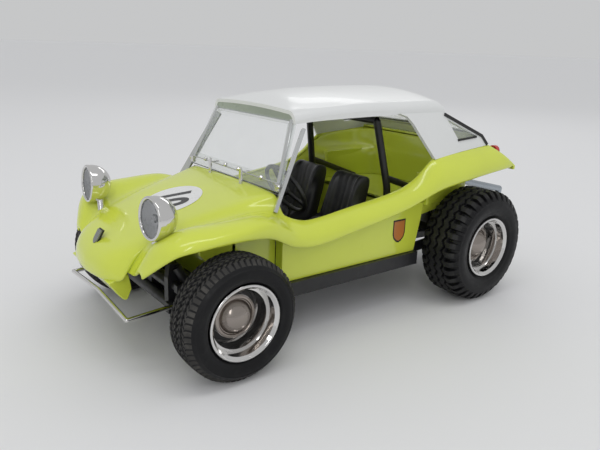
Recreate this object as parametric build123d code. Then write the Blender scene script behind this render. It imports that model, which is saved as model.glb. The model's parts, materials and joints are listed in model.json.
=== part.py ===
from build123d import *
import os

# Dune buggy, 1:25 scale model, in millimetres. The nose points to -Y, the driver's side is +X,
# and the wheels stand on Z = 0. Tables give Y from the front axle, and place() shifts a finished
# piece so that the origin is under the middle of the overall length.

# Driving dimensions
WHEELBASE = 81.3
NOSE_REACH = 22.6  # front axle to the foremost point of the nose
TAIL_REACH = WHEELBASE + 25.9  # front axle to the rearmost point of the rear guard
FRONT_RADIUS = 13.8
REAR_RADIUS = 16.0
FRONT_WIDTH = 9.0
REAR_WIDTH = 12.0
RIM_FACE_X = 34.2  # outer rim lip, from the centre plane
RIM_RADIUS = 8.5
BORE_RADIUS = 0.9
PIN_RADIUS = 0.84
SKIN = 1.0  # wall of the moulded body
PANEL_X = 22.8  # outer face of the body's side panel
PANEL_LOW_Z = 15.2
FLOOR_Z = 13.0  # top of the floor pan
FLOOR_LOW_Z = 11.6
COWL_Y = 17.0
SHELF_Z = 28.0
BULKHEAD_Y = WHEELBASE - 20.3
REAR_WALL_Y = WHEELBASE + 4.7
ARCH_Y = WHEELBASE - 16.3  # where the side panel ends and the rear wheel arch begins
INNER_WALL_X = 20.3  # rear wheel arch, side towards the tyre
FRONT_WALL_X = 20.0  # front wheel arch, side towards the tyre
HUB_INSET = 7.4  # rim face to the back of the wheel's hub
BOSS_INSET = 4.6  # rim face to the hub boss that carries the cap
TUBE = 1.0  # radius of the roll hoop's tube
ROOF_SKIN = 0.9

FRONT_AXLE_Y = (NOSE_REACH - TAIL_REACH) / 2


def place(shape):
    return Pos(0, FRONT_AXLE_Y, 0) * shape


def save(shape, name, shift=True):
    moved = place(shape) if shift else shape
    export_step(moved, f"parts/{name}.step")


def mirrored(shape):
    return mirror(shape, about=Plane.YZ)


def both(shape):
    """The piece and its mirror image across the centre plane, as one compound."""
    return Compound(children=[shape, mirrored(shape)])


def seated(piece, *others):
    """Cut a piece back to the surface of what carries it, keeping its largest part."""
    for other in others:
        piece = piece - other
    return max(piece.solids(), key=lambda solid: solid.volume)


def tube(points, radius):
    """A round bar along straight runs with rounded corners."""
    path = Polyline(*points)
    start = Plane(origin=path @ 0, z_dir=path % 0)
    return sweep(start * Circle(radius), path=path, transition=Transition.ROUND)


def rod(a, b, radius):
    """A straight round bar from a to b."""
    run = Vector(*b) - Vector(*a)
    return Plane(origin=a, z_dir=run) * Cylinder(
        radius, run.length, align=(Align.CENTER, Align.CENTER, Align.MIN)
    )


def across(radius, length, centre):
    """A cylinder along X, centred at a point."""
    return Pos(*centre) * Rot(0, 90, 0) * Cylinder(radius, length)


def slab(plane, points, thickness):
    """A flat plate from a closed outline in a plane, thickened along the plane's normal."""
    return extrude(plane * make_face(Polyline(*points, close=True)), thickness)


def prism(points, low_x, high_x):
    """A side-view outline given as (y, z), extruded across from one x to another."""
    plane = Plane(origin=(low_x, 0, 0), x_dir=(0, 1, 0), z_dir=(1, 0, 0))
    return slab(plane, points, high_x - low_x)


def block(low, high):
    size = [h - l for l, h in zip(low, high)]
    middle = [(h + l) / 2 for l, h in zip(low, high)]
    return Pos(*middle) * Box(*size)


# Front of the body: hood, valleys, fender domes and rolled lips, one row a station.
# y, crown_z, hood_x, hood_z, valley_x, valley_z, crest_x, crest_z, lip_x, lip_top_z, lip_low_z
FRONT_STATIONS = [
    (COWL_Y, 37.2, 20.0, 36.7, 22.4, 33.4, 24.8, 31.2, 27.4, 28.6, 25.2),
    (8.5, 35.2, 17.8, 34.7, 21.0, 33.0, 25.2, 33.9, 29.2, 32.5, 29.3),
    (0.0, 32.9, 15.6, 32.7, 18.9, 31.6, 24.6, 33.5, 30.0, 31.8, 29.9),
    (-7.0, 30.7, 14.0, 30.4, 16.9, 30.1, 23.4, 33.1, 29.9, 31.2, 29.6),
    (-11.5, 29.0, 13.0, 28.8, 15.6, 28.7, 21.8, 31.5, 28.2, 30.1, 28.7),
    (-13.6, 27.5, 12.6, 27.3, 15.8, 26.6, 20.9, 30.0, 26.2, 28.5, 27.1),
    (-15.2, 25.6, 12.2, 25.3, 15.8, 24.2, 19.6, 27.2, 23.4, 26.2, 24.8),
    (-16.8, 23.4, 11.8, 23.1, 15.8, 22.0, 18.0, 23.3, 19.8, 23.0, 21.9),
]


def resampled(table, count):
    """Rows evenly spaced in Y through a table, curving smoothly and without overshoot."""
    rows = []
    last = len(table) - 1
    slopes = [
        [(b - a) / (high[0] - low[0]) for a, b in zip(low, high)]
        for low, high in zip(table, table[1:])
    ]
    for i in range(count):
        y = table[0][0] + (table[last][0] - table[0][0]) * i / (count - 1)
        k = 0
        while k < last - 1 and (y - table[k + 1][0]) * (table[last][0] - table[0][0]) > 0:
            k += 1
        span = table[k + 1][0] - table[k][0]
        t = (y - table[k][0]) / span
        row = []
        for c, (a, b) in enumerate(zip(table[k], table[k + 1])):
            here = slopes[k][c]
            before = slopes[max(k - 1, 0)][c]
            after = slopes[min(k + 1, last - 1)][c]
            start = 2 * before * here / (before + here) if before * here > 0 else 0
            end = 2 * after * here / (after + here) if after * here > 0 else 0
            start = here if k == 0 else start
            end = here if k == last - 1 else end
            value = a * (2 * t**3 - 3 * t**2 + 1) + b * (3 * t**2 - 2 * t**3)
            value += span * (start * (t**3 - 2 * t**2 + t) + end * (t**3 - t**2))
            row.append(value)
        rows.append(row)
    return rows


def front_section(row):
    y, crown_z, hood_x, hood_z, valley_x, valley_z, crest_x, crest_z, lip_x, lip_top, lip_low = row
    rise_x, rise_z = (valley_x + crest_x) / 2, (valley_z + crest_z) / 2

    def line(side, drop, inset):
        """Outer or inner line of one side, from the hood's shoulder to the lip's low edge."""
        shoulder = (side * hood_x, hood_z - drop)
        valley = (side * valley_x, valley_z - drop)
        rise = (side * rise_x, rise_z - drop)
        crest = (side * crest_x, crest_z - drop)
        top = (side * (lip_x - inset), lip_top - drop * 0.7)
        low = (side * (lip_x - inset), lip_low)
        return [
            ThreePointArc(shoulder, valley, rise) if side > 0 else ThreePointArc(rise, valley, shoulder),
            ThreePointArc(rise, crest, top) if side > 0 else ThreePointArc(top, crest, rise),
            Line(top, low) if side > 0 else Line(low, top),
        ]

    outer = [ThreePointArc((-hood_x, hood_z), (0, crown_z), (hood_x, hood_z))]
    inner = [
        ThreePointArc((-hood_x, hood_z - SKIN), (0, crown_z - SKIN), (hood_x, hood_z - SKIN))
    ]
    edges = outer + line(1, 0, 0) + line(-1, 0, 0) + inner + line(1, SKIN, SKIN) + line(-1, SKIN, SKIN)
    edges += [Line((s * lip_x, lip_low), (s * (lip_x - SKIN), lip_low)) for s in (-1, 1)]
    face = make_face(edges)
    return Plane(origin=(0, y, 0), x_dir=(1, 0, 0), z_dir=(0, -1, 0)) * face


# Nose: the hood's centre line curls down over the front, one row a station across the width.
# x, start_y, start_z, bend_y, bend_z, beak_y, beak_z
NOSE_STATIONS = [
    (0.0, -11.5, 29.0, -18.0, 26.1, -21.9, 19.2),
    (8.0, -11.5, 28.9, -17.2, 26.4, -21.0, 19.3),
    (12.0, -11.5, 28.8, -15.6, 26.9, -19.6, 19.6),
    (14.8, -11.5, 28.7, -13.4, 27.3, -18.1, 20.0),
]


def nose_section(row, side):
    x, start_y, start_z, bend_y, bend_z, beak_y, beak_z = row
    slope = (bend_y - start_y, bend_z - start_z)
    edges = [
        Line((start_y, start_z), (bend_y, bend_z)),
        TangentArc((bend_y, bend_z), (beak_y, beak_z), tangent=slope),
        Line((beak_y, beak_z), (beak_y + SKIN, beak_z)),
        TangentArc((bend_y + 0.4, bend_z - SKIN), (beak_y + SKIN, beak_z), tangent=slope),
        Line((bend_y + 0.4, bend_z - SKIN), (start_y, start_z - SKIN)),
        Line((start_y, start_z - SKIN), (start_y, start_z)),
    ]
    plane = Plane(origin=(side * x, 0, 0), x_dir=(0, 1, 0), z_dir=(1, 0, 0))
    return plane * make_face(edges)


CHIN_HALF_WIDTH = 12.0
CHIN_LOW_Z = 15.0


def body_front():
    """Hood and fenders with the nose let into them, the chin, and the walls beside the front wheels."""
    skin = loft([front_section(row) for row in resampled(FRONT_STATIONS, 11)])
    skin = skin - block((-14.0, -20.0, 10.0), (14.0, -12.4, 32.0))
    slit = slab(Plane.XY.offset(15), [(16.0, -14.4), (14.4, -19.5), (17.5, -17.6)], 9.4)
    skin = skin - slit - mirrored(slit)
    order = [(row, -1) for row in reversed(NOSE_STATIONS)] + [(row, 1) for row in NOSE_STATIONS[1:]]
    nose = loft([nose_section(row, side) for row, side in order])
    low = CHIN_LOW_Z
    chin = prism(
        [(-20.6, 19.6), (-17.6, low + 0.4), (-17.0, low), (-16.4, low), (-15.2, 17.6), (-16.0, 21.0)],
        -CHIN_HALF_WIDTH,
        CHIN_HALF_WIDTH,
    )
    wall = prism(
        [(-3, 25), (6, PANEL_LOW_Z), (COWL_Y, PANEL_LOW_Z), (COWL_Y, 34.1), (8.5, 32.9), (-3, 31.0)],
        FRONT_WALL_X - SKIN,
        FRONT_WALL_X,
    )
    toe = prism([(5, FLOOR_Z), (6, FLOOR_Z), (6, 32.4), (5, 32.1)], -FRONT_WALL_X, FRONT_WALL_X)
    return skin + nose + chin + (both(wall) + toe)


# Side of the body, one row a station: the cockpit's rail up to ARCH_Y, then the rear fender.
# y, wall_x, wall_z, inner_x, inner_z, bulge_x, bulge_z, lip_x, lip_low_z
RAIL_STATIONS = [
    (COWL_Y, 22.8, 27.5, 23.0, 32.4, 26.4, 30.0, 27.4, 25.2),
    (22.5, 22.8, 27.5, 23.2, 30.2, 26.4, 28.4, 27.4, 24.4),
    (37.0, 22.8, 27.5, 23.4, 31.8, 26.8, 30.2, 27.6, 26.3),
    (ARCH_Y - 12.0, 22.8, 27.5, 23.8, 34.2, 27.3, 32.8, 28.2, 29.4),
    (ARCH_Y - 6.0, 22.8, 27.5, 24.2, 36.8, 27.5, 35.0, 28.5, 31.3),
    (ARCH_Y, 22.8, 27.5, 24.9, 42.0, 27.6, 39.1, 28.9, 33.3),
]
FENDER_STATIONS = [
    (ARCH_Y, 24.2, 35.6, 24.9, 42.0, 27.6, 39.1, 28.9, 33.3),
    (ARCH_Y + 10.0, 24.0, 35.6, 24.8, 42.9, 27.6, 40.2, 29.2, 34.8),
    (ARCH_Y + 23.0, 23.4, 35.6, 24.5, 43.9, 27.3, 41.4, 28.8, 36.0),
    (ARCH_Y + 34.0, 23.0, 35.6, 24.3, 44.6, 27.0, 42.2, 28.0, 36.6),
]


def rail_section(row):
    y, wall_x, wall_z, inner_x, inner_z, bulge_x, bulge_z, lip_x, lip_low = row
    edges = [
        Line((wall_x - SKIN, wall_z), (inner_x, inner_z)),
        ThreePointArc((inner_x, inner_z), (bulge_x, bulge_z), (lip_x, lip_low)),
        Line((lip_x, lip_low), (lip_x - SKIN, lip_low)),
        ThreePointArc(
            (lip_x - SKIN, lip_low),
            (bulge_x - SKIN * 0.8, bulge_z - SKIN * 0.8),
            (inner_x + SKIN * 0.6, inner_z - SKIN * 1.3),
        ),
        Line((inner_x + SKIN * 0.6, inner_z - SKIN * 1.3), (wall_x, wall_z)),
        Line((wall_x, wall_z), (wall_x - SKIN, wall_z)),
    ]
    return Plane(origin=(0, y, 0), x_dir=(1, 0, 0), z_dir=(0, -1, 0)) * make_face(edges)


def body_side():
    """Driver's side of the cockpit: rail, flat side panel and the return behind the front wheel."""
    rail = loft([rail_section(row) for row in RAIL_STATIONS])
    panel = prism(
        [(COWL_Y, PANEL_LOW_Z), (ARCH_Y - 2.4, PANEL_LOW_Z), (ARCH_Y, 26.5), (ARCH_Y, 28.0), (COWL_Y, 28.0)],
        PANEL_X - SKIN,
        PANEL_X,
    )
    front = block((FRONT_WALL_X - SKIN, COWL_Y, PANEL_LOW_Z), (PANEL_X, COWL_Y + SKIN, 31.0))
    return rail + panel + front


TAIL_TOP = (WHEELBASE + 6.7, 43.9)  # y, z of the edge where the deck turns down
TAIL_LOW = (WHEELBASE + 17.3, 37.1)
LEDGE_END_Y = WHEELBASE + 14.0
LEDGE_Z = 36.6  # top of the ledge between the arch wall and the fender
DECK_HALF_WIDTH = 24.4


def body_rear():
    """Rear fenders, wheel arches, luggage shelf, bulkhead and the sloping tail."""
    fender = loft([rail_section(row) for row in FENDER_STATIONS])
    arch_front = block((INNER_WALL_X - SKIN, ARCH_Y, 26.5), (27.0, ARCH_Y + SKIN, LEDGE_Z))
    wall = prism(
        [(ARCH_Y, 24.0), (REAR_WALL_Y, 27.0), (REAR_WALL_Y, LEDGE_Z), (ARCH_Y, LEDGE_Z)],
        INNER_WALL_X - SKIN,
        INNER_WALL_X,
    )
    ledge = block((INNER_WALL_X - SKIN, ARCH_Y, LEDGE_Z - SKIN), (24.0, LEDGE_END_Y, LEDGE_Z))
    sides = both(fender + arch_front + wall + ledge)
    shelf = block((-20.5, ARCH_Y, SHELF_Z - SKIN), (20.5, REAR_WALL_Y, SHELF_Z))
    inner = PANEL_X - SKIN
    front_shelf = block((-inner, BULKHEAD_Y, SHELF_Z - SKIN), (inner, ARCH_Y + 0.5, SHELF_Z))
    bulkhead = block((-inner, BULKHEAD_Y, FLOOR_Z), (inner, BULKHEAD_Y + SKIN, SHELF_Z))
    rear_wall = block((-20.0, REAR_WALL_Y - SKIN, SHELF_Z - SKIN), (20.0, REAR_WALL_Y, 36.0))
    rear_wall += block((-24.0, REAR_WALL_Y - SKIN, 36.0), (24.0, REAR_WALL_Y, TAIL_TOP[1] - 0.4))
    top_y, top_z = TAIL_TOP
    low_y, low_z = TAIL_LOW
    deck = prism(
        [
            (REAR_WALL_Y - SKIN, top_z - SKIN),
            (top_y - 0.4, top_z - SKIN),
            (low_y - SKIN, low_z - 0.4),
            (low_y - SKIN, low_z - 1.2),
            (low_y, low_z - 1.2),
            (low_y, low_z),
            (top_y, top_z),
            (REAR_WALL_Y - SKIN, top_z),
        ],
        -DECK_HALF_WIDTH,
        DECK_HALF_WIDTH,
    )
    far_y = low_y + 12
    beyond = prism(
        [(top_y, top_z), (low_y, low_z), (low_y, 20), (far_y, 20), (far_y, 60), (top_y, 60)], -40, 40
    )
    return sides + shelf + front_shelf + bulkhead + rear_wall + deck - beyond


def floor_pan():
    end_y = BULKHEAD_Y + 2.0
    pan = block((-21.0, 8.0, FLOOR_LOW_Z), (21.0, end_y, FLOOR_Z))
    rail = block((20.6, 16.0, FLOOR_LOW_Z), (24.0, end_y, PANEL_LOW_Z))
    toe = block((-12.0, -1.0, FLOOR_LOW_Z), (12.0, 8.0, FLOOR_Z))
    tunnel = block((-2.6, 6.0, FLOOR_Z), (2.6, BULKHEAD_Y, 17.0))
    return pan + both(rail) + toe + tunnel


def dashboard():
    front, back = COWL_Y, COWL_Y + 1.6
    return prism([(front, 28.0), (back, 28.0), (back - 0.4, 36.0), (front, 36.2)], -20.4, 20.4)


SCREEN_LOW = (20.9, 17.6, 38.7)  # outer lower corner of the windscreen frame
SCREEN_TOP = (17.4, 23.5, 53.0)
SCREEN_BAND = 1.3
SCREEN_FOOT = 2.0  # flange below the frame, down to the hood's edge


def screen_plane():
    rise = Vector(0, SCREEN_TOP[1] - SCREEN_LOW[1], SCREEN_TOP[2] - SCREEN_LOW[2])
    origin = (0, SCREEN_LOW[1], SCREEN_LOW[2])
    return Plane(origin=origin, x_dir=(1, 0, 0), z_dir=Vector(1, 0, 0).cross(rise)), rise.length


def trapezoid(inset, foot=0.0):
    height = screen_plane()[1]
    low_x, top_x = SCREEN_LOW[0] - inset, SCREEN_TOP[0] - inset
    return [(-low_x, inset - foot), (low_x, inset - foot), (top_x, height - inset), (-top_x, height - inset)]


def windscreen_frame():
    plane = screen_plane()[0].offset(-0.5)
    return slab(plane, trapezoid(0, SCREEN_FOOT), 1.0) - slab(plane, trapezoid(SCREEN_BAND), 1.0)


def windscreen_glass():
    plane = screen_plane()[0].offset(-0.2)
    return slab(plane, trapezoid(SCREEN_BAND), 0.4)


POST_LOW = (23.0, 14.5, 33.0)  # stay from the cowl's flank up to the roof's front corner
POST_TOP = (19.5, 24.6, 50.8)


def windscreen_post():
    """Flat bar from the cowl's flank, past the frame's lower corner, to the roof."""
    run = Vector(*POST_TOP) - Vector(*POST_LOW)
    plane = Plane(origin=POST_LOW, x_dir=(1, -0.4, 0.4), z_dir=run)
    return plane * Box(1.8, 0.8, run.length, align=(Align.CENTER, Align.CENTER, Align.MIN))


# Roof: one row a station along the car.
# y, low_z, side_x, shoulder_z, corner_x, corner_z, crown_z
ROOF_STATIONS = [
    (22.8, 52.0, 18.6, 52.6, 15.6, 54.9, 55.4),
    (25.6, 52.2, 18.9, 53.0, 16.2, 55.3, 56.7),
    (30.0, 52.5, 19.4, 53.6, 17.2, 55.5, 57.7),
    (45.0, 53.0, 20.8, 54.4, 18.4, 56.4, 58.6),
    (ARCH_Y - 7.0, 53.2, 21.9, 54.4, 19.4, 56.6, 58.8),
    (ARCH_Y + 1.0, 53.1, 22.2, 54.1, 19.9, 56.7, 58.8),
    (ARCH_Y + 6.0, 52.7, 22.3, 53.3, 19.6, 55.3, 58.0),
]
# Back of the roof, from its end down to the belt over the deck.
BACK_STATIONS = [
    (ARCH_Y + 6.0, 52.2, 22.3, 52.8, 20.2, 53.5, 55.6),
    (ARCH_Y + 21.0, 45.4, 24.4, 46.0, 22.2, 46.5, 46.8),
]


def roof_section(row, skin=ROOF_SKIN, sink=0.0):
    """Roof skin at one station, or a thinner pane sunk below the roof's outer face."""
    y, low_z, side_x, shoulder_z, corner_x, corner_z, crown_z = row
    side_x, low_z, shoulder_z = side_x - sink, low_z - sink, shoulder_z - sink
    corner_z, crown_z = corner_z - sink, crown_z - sink
    mid_x, mid_z = corner_x + (side_x - corner_x) * 0.72, shoulder_z + (corner_z - shoulder_z) * 0.68
    edges = [
        ThreePointArc((-corner_x, corner_z), (0, crown_z), (corner_x, corner_z)),
        ThreePointArc((-corner_x, corner_z - skin), (0, crown_z - skin), (corner_x, corner_z - skin)),
    ]
    for s in (-1, 1):
        edges += [
            ThreePointArc((s * corner_x, corner_z), (s * mid_x, mid_z), (s * side_x, shoulder_z)),
            Line((s * side_x, shoulder_z), (s * side_x, low_z)),
            Line((s * side_x, low_z), (s * (side_x - skin), low_z)),
            Line((s * (side_x - skin), low_z), (s * (side_x - skin), shoulder_z - 0.3)),
            ThreePointArc(
                (s * (side_x - skin), shoulder_z - 0.3),
                (s * (mid_x - skin * 0.7), mid_z - skin * 0.8),
                (s * corner_x, corner_z - skin),
            ),
        ]
    return Plane(origin=(0, y, 0), x_dir=(1, 0, 0), z_dir=(0, -1, 0)) * make_face(edges)


QUARTER_FOOT = (25.6, 41.8)  # x, z where the hardtop's side stands on the rail
QUARTER_TOP = (22.2, 54.0)


def quarter_plane():
    rise = Vector(QUARTER_TOP[0] - QUARTER_FOOT[0], 0, QUARTER_TOP[1] - QUARTER_FOOT[1])
    origin = (QUARTER_FOOT[0], 0, QUARTER_FOOT[1])
    return Plane(origin=origin, x_dir=(0, 1, 0), z_dir=Vector(0, 1, 0).cross(rise))


# Outline of the hardtop's side and of the pane in it: y from ARCH_Y, distance up the leaning side.
QUARTER_OUTLINE = [
    (0.4, -1.2), (-4.8, 6.2), (-6.8, 9.2), (-8.9, 11.3), (-11.6, 12.2),
    (5.6, 12.0), (20.9, 4.8), (23.0, 1.8), (23.4, 0.4),
]
QUARTER_PANE = [(10.3, 4.0), (6.5, 10.0), (18.6, 4.6)]
# Rear window seen from above: x, y from ARCH_Y.
REAR_OPENING = [(-21.2, 8.0), (21.2, 8.0), (23.0, 19.4), (-23.0, 19.4)]


def quarter_outline(points):
    return [(ARCH_Y + y, up) for y, up in points]


def rear_opening():
    return slab(Plane.XY.offset(40), [(x, ARCH_Y + y) for x, y in REAR_OPENING], 20)


def header(row, back_y, low_z):
    """Upright panel that closes one end of the roof, from its skin down to a given height."""
    side_x, shoulder_z, corner_x, corner_z, crown_z = row[2:]
    half = [(side_x - 0.5, low_z), (side_x - 0.5, shoulder_z - 0.1), (corner_x, corner_z - 0.1)]
    points = half + [(0, crown_z - 0.1)] + [(-x, z) for x, z in reversed(half)]
    return slab(Plane(origin=(0, back_y, 0), x_dir=(1, 0, 0), z_dir=(0, -1, 0)), points, 1.0)


def hardtop():
    """Roof with its end headers, sloping back, leaning sides and the belt over the deck."""
    roof = loft([roof_section(row) for row in resampled(ROOF_STATIONS, 12)])
    back = loft([roof_section(row) for row in BACK_STATIONS]) - rear_opening()
    side = slab(quarter_plane(), quarter_outline(QUARTER_OUTLINE), -ROOF_SKIN)
    side = side - slab(quarter_plane(), quarter_outline(QUARTER_PANE), -ROOF_SKIN)
    front_header = header(ROOF_STATIONS[0], SCREEN_TOP[1] + 0.5, 52.2)
    back_header = header(ROOF_STATIONS[-1], ARCH_Y + 6.0, 52.4)
    end = ARCH_Y + 21.0
    belt = prism([(end - 0.9, 46.2), (end, 46.2), (end + 2.0, 43.4), (end + 1.1, 43.4)], -27, 27)
    envelope = slab(Plane.XZ.offset(-60), [(-26.7, 38), (26.7, 38), (20.6, 60), (-20.6, 60)], -40)
    return roof + front_header + back_header + back + both(side) + (belt & envelope)


def rear_glass():
    pane = loft([roof_section(row, 0.4, 0.3) for row in BACK_STATIONS])
    return pane & rear_opening()


def quarter_glass():
    plane = quarter_plane().offset(-0.3)
    return slab(plane, quarter_outline(QUARTER_PANE), -0.4)


def roll_hoop():
    y = BULKHEAD_Y
    hoop = [(16.5, y - 2.4, FLOOR_Z), (16.5, y - 4.4, 33.0), (14.6, y - 8.0, 51.0)]
    points = hoop + [(-x, y, z) for x, y, z in reversed(hoop)]
    brace = rod((16.4, y - 4.6, 35.4), (18.0, y + 15.0, SHELF_Z), TUBE * 0.9)
    return tube(points, TUBE) + both(brace)


SEAT_X = 9.2
SEAT_WIDTH = 11.0


def seat():
    """Bucket seat with a pedestal, side bolsters and a leaning back."""
    low, high = SEAT_X - SEAT_WIDTH / 2, SEAT_X + SEAT_WIDTH / 2
    shell = [
        (33.0, 17.0), (47.0, 15.6), (52.8, 34.8), (50.4, 36.4), (48.6, 34.6), (44.6, 19.6), (34.0, 20.2)
    ]
    base = [(35.0, FLOOR_Z), (46.0, FLOOR_Z), (46.0, 16.0), (35.0, 17.4)]
    bolster = [(34.0, 17.5), (46.6, 16.4), (51.0, 32.0), (46.4, 31.0), (42.6, 22.4), (34.5, 21.8)]
    cushion = prism(shell, low + 1.2, high - 1.2)
    sides = prism(bolster, low, low + 1.8) + prism(bolster, high - 1.8, high)
    return cushion + sides + prism(base, low + 2, high - 2)


WHEEL_CENTRE = (9.6, 27.2, 34.4)
WHEEL_NORMAL = (0, 0.86, 0.5)


def steering_wheel():
    """Rim, spokes, hub and the column down to the dashboard."""
    plane = Plane(origin=WHEEL_CENTRE, x_dir=(1, 0, 0), z_dir=WHEEL_NORMAL)
    ring = plane * Torus(6.9, 0.55)
    spokes = [plane * Rot(0, 0, a) * Pos(3.5, 0, -0.4) * Box(7.0, 1.1, 0.6) for a in (-90, 30, 150)]
    hub = plane * Pos(0, 0, -0.5) * Cylinder(1.5, 1.4)
    column = rod(plane.from_local_coords((0, 0, -10.6)), plane.from_local_coords((0, 0, -1)), 0.7)
    wheel = ring + hub + column
    for spoke in spokes:
        wheel += spoke
    return wheel


def gear_lever():
    stick = rod((0, 33.0, 17.0), (0, 36.0, 25.6), 0.35)
    return stick + Pos(0, 36.1, 26.2) * Sphere(0.9) + Pos(0, 33, 17.4) * Cylinder(1.3, 0.8)


LAMP_CENTRE = (18.7, -13.6, 34.6)
LAMP_RADIUS = 4.7


def lamp_plane():
    return Plane(origin=LAMP_CENTRE, x_dir=(1, 0, 0), z_dir=(0.06, -1, 0.06))


def headlamp():
    """Chrome pod with a rim, on a short stem with a round foot."""
    r = LAMP_RADIUS
    outline = [
        Line((0, -5.8), (0, -1.2)),
        Line((0, -1.2), (r - 0.7, -1.2)),
        Line((r - 0.7, -1.2), (r - 0.7, 0)),
        Line((r - 0.7, 0), (r, 0)),
        Line((r, 0), (r, -1.0)),
        ThreePointArc((r, -1.0), (r * 0.76, -4.2), (0.4, -5.8)),
        Line((0.4, -5.8), (0, -5.8)),
    ]
    bowl = lamp_plane() * revolve(Plane.XZ * make_face(outline), axis=Axis.Z)
    stem = rod((15.6, -11.6, 27.0), (17.8, -11.0, 32.6), 0.8)
    return bowl + stem


def lamp_lens():
    r = LAMP_RADIUS - 0.7
    outline = [
        Line((0, -1.2), (r, -1.2)),
        Line((r, -1.2), (r, -0.2)),
        ThreePointArc((r, -0.2), (r * 0.55, 0.3), (0.4, 0.5)),
        Line((0.4, 0.5), (0, 0.5)),
        Line((0, 0.5), (0, -1.2)),
    ]
    return lamp_plane() * revolve(Plane.XZ * make_face(outline), axis=Axis.Z)


def front_bumper():
    leg = [(16.9, -8.0, 13.4), (17.3, -19.0, 12.8)]
    points = leg + [(0, -18.8, 13.8)] + [(-x, y, z) for x, y, z in reversed(leg)]
    return tube(points, 0.5)


BEAM_Y = -7.0
BEAM_HIGH_Z = 17.6
BEAM_LOW_Z = 12.6


def front_beam():
    """Twin torsion tubes with end plates and the frame head that carries them."""
    tubes = across(1.5, 31.0, (0, BEAM_Y, BEAM_HIGH_Z)) + across(1.5, 31.0, (0, BEAM_Y, BEAM_LOW_Z))
    tower = prism(
        [(-8.6, 11.0), (-5.4, 11.0), (-5.4, 19.4), (-6.0, 22.6), (-8.0, 22.6), (-8.6, 19.4)], 13.6, 15.5
    )
    web = block((-3.0, BEAM_Y, 12.0), (3.0, -1.0, 18.0))
    head = block((-5.0, -5.0, 12.2), (5.0, -1.0, 16.4))
    tab = prism([(-9.4, 12.6), (-5.6, 11.6), (-5.6, 14.6), (-9.4, 14.2)], 15.5, 17.2)
    return tubes + both(tower) + web + head + both(tab)


KNUCKLE_X = 21.6


def front_spindle():
    """Trailing arms, upright, brake drum and the stub axle the wheel turns on."""
    high = prism([(-8.0, 16.8), (1.6, 15.6), (1.6, 17.6), (-8.0, 18.6)], 17.2, 18.8)
    low = prism([(-8.0, 11.6), (1.6, 10.6), (1.6, 12.6), (-8.0, 13.4)], 17.2, 18.8)
    pivot = across(1.0, 2.0, (16.4, BEAM_Y, BEAM_HIGH_Z)) + across(1.0, 2.0, (16.4, BEAM_Y, BEAM_LOW_Z))
    upright = block((18.4, -1.6, 10.4), (20.4, 1.6, 17.8))
    drum_end = RIM_FACE_X - HUB_INSET - 0.5
    centre_x = (20.4 + drum_end) / 2
    drum = across(5.2, drum_end - 20.4, (centre_x, 0, FRONT_RADIUS))
    pin_end = RIM_FACE_X - BOSS_INSET - 0.4
    pin = across(PIN_RADIUS, pin_end - 20.4, ((pin_end + 20.4) / 2, 0, FRONT_RADIUS))
    return high + low + pivot + upright + drum + pin


def tie_rod():
    return rod((-18.4, 1.0, 14.6), (18.4, 1.0, 14.6), 0.45)


def front_shock():
    return rod((16.0, -6.6, 22.0), (18.0, -2.0, 13.0), 1.1)


# Gearbox, engine and what hangs on them are drawn from the rear axle and shifted to it.
REAR_AXLE = Pos(0, WHEELBASE, 0)


def along(radius, length, centre):
    """A cylinder along Y, centred at a point."""
    return Pos(*centre) * Rot(90, 0, 0) * Cylinder(radius, length)


def torsion_tube():
    """Cross tube behind the pan with the two frame horns that carry the gearbox."""
    cross = across(2.0, 38.0, (0, -16.3, 14.4))
    horn = prism([(-17.3, 12.6), (10.7, 11.4), (10.7, 13.0), (-17.3, 15.2)], 6.6, 8.4)
    return REAR_AXLE * (cross + both(horn))


def transaxle():
    case = block((-4.2, -13.3, 12.6), (4.2, 0.7, 20.4))
    nose = along(2.8, 4.0, (0, -13.7, 16.6))
    bell = along(6.4, 5.2, (0, 3.3, 17.0))
    return REAR_AXLE * (case + nose + bell)


def rear_axle():
    """Axle tube, spring plate, brake drum and stub for the driver's side."""
    tube_run = across(1.5, 15.0, (4.2 + 7.5, 0, REAR_RADIUS))
    plate = prism([(-17.9, 13.2), (1.7, 14.4), (1.7, 17.6), (-17.9, 15.6)], 19.0, 20.0)
    drum_end = RIM_FACE_X - HUB_INSET - 0.5
    drum = across(5.6, drum_end - 20.0, ((20.0 + drum_end) / 2, 0, REAR_RADIUS))
    pin_end = RIM_FACE_X - BOSS_INSET - 0.4
    pin = across(PIN_RADIUS, pin_end - 20.0, ((pin_end + 20.0) / 2, 0, REAR_RADIUS))
    return REAR_AXLE * (tube_run + plate + drum + pin)


def engine_case():
    case = block((-4.6, 5.9, 11.0), (4.6, 17.7, 20.4))
    sump = block((-4.0, 6.7, 9.8), (4.0, 16.7, 11.0))
    return REAR_AXLE * (case + sump)


def cylinder_bank():
    """Finned cylinders, head and valve cover on the driver's side."""
    bank = block((4.6, 7.3, 13.8), (11.0, 16.9, 19.0))
    for i in range(6):
        x = 5.4 + i * 0.95
        bank += block((x, 6.7, 13.2), (x + 0.4, 17.5, 19.6))
    cover = block((11.0, 7.5, 14.2), (13.2, 16.7, 18.6))
    return REAR_AXLE * (bank + cover)


def fan_shroud():
    shape = make_face(
        [
            Line((-11.4, 20.4), (11.4, 20.4)),
            Line((11.4, 20.4), (9.4, 25.4)),
            ThreePointArc((9.4, 25.4), (0, 34.0), (-9.4, 25.4)),
            Line((-9.4, 25.4), (-11.4, 20.4)),
        ]
    )
    plane = Plane(origin=(0, 11.1, 0), x_dir=(1, 0, 0), z_dir=(0, -1, 0))
    return REAR_AXLE * extrude(plane * shape, 3.6)


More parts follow.
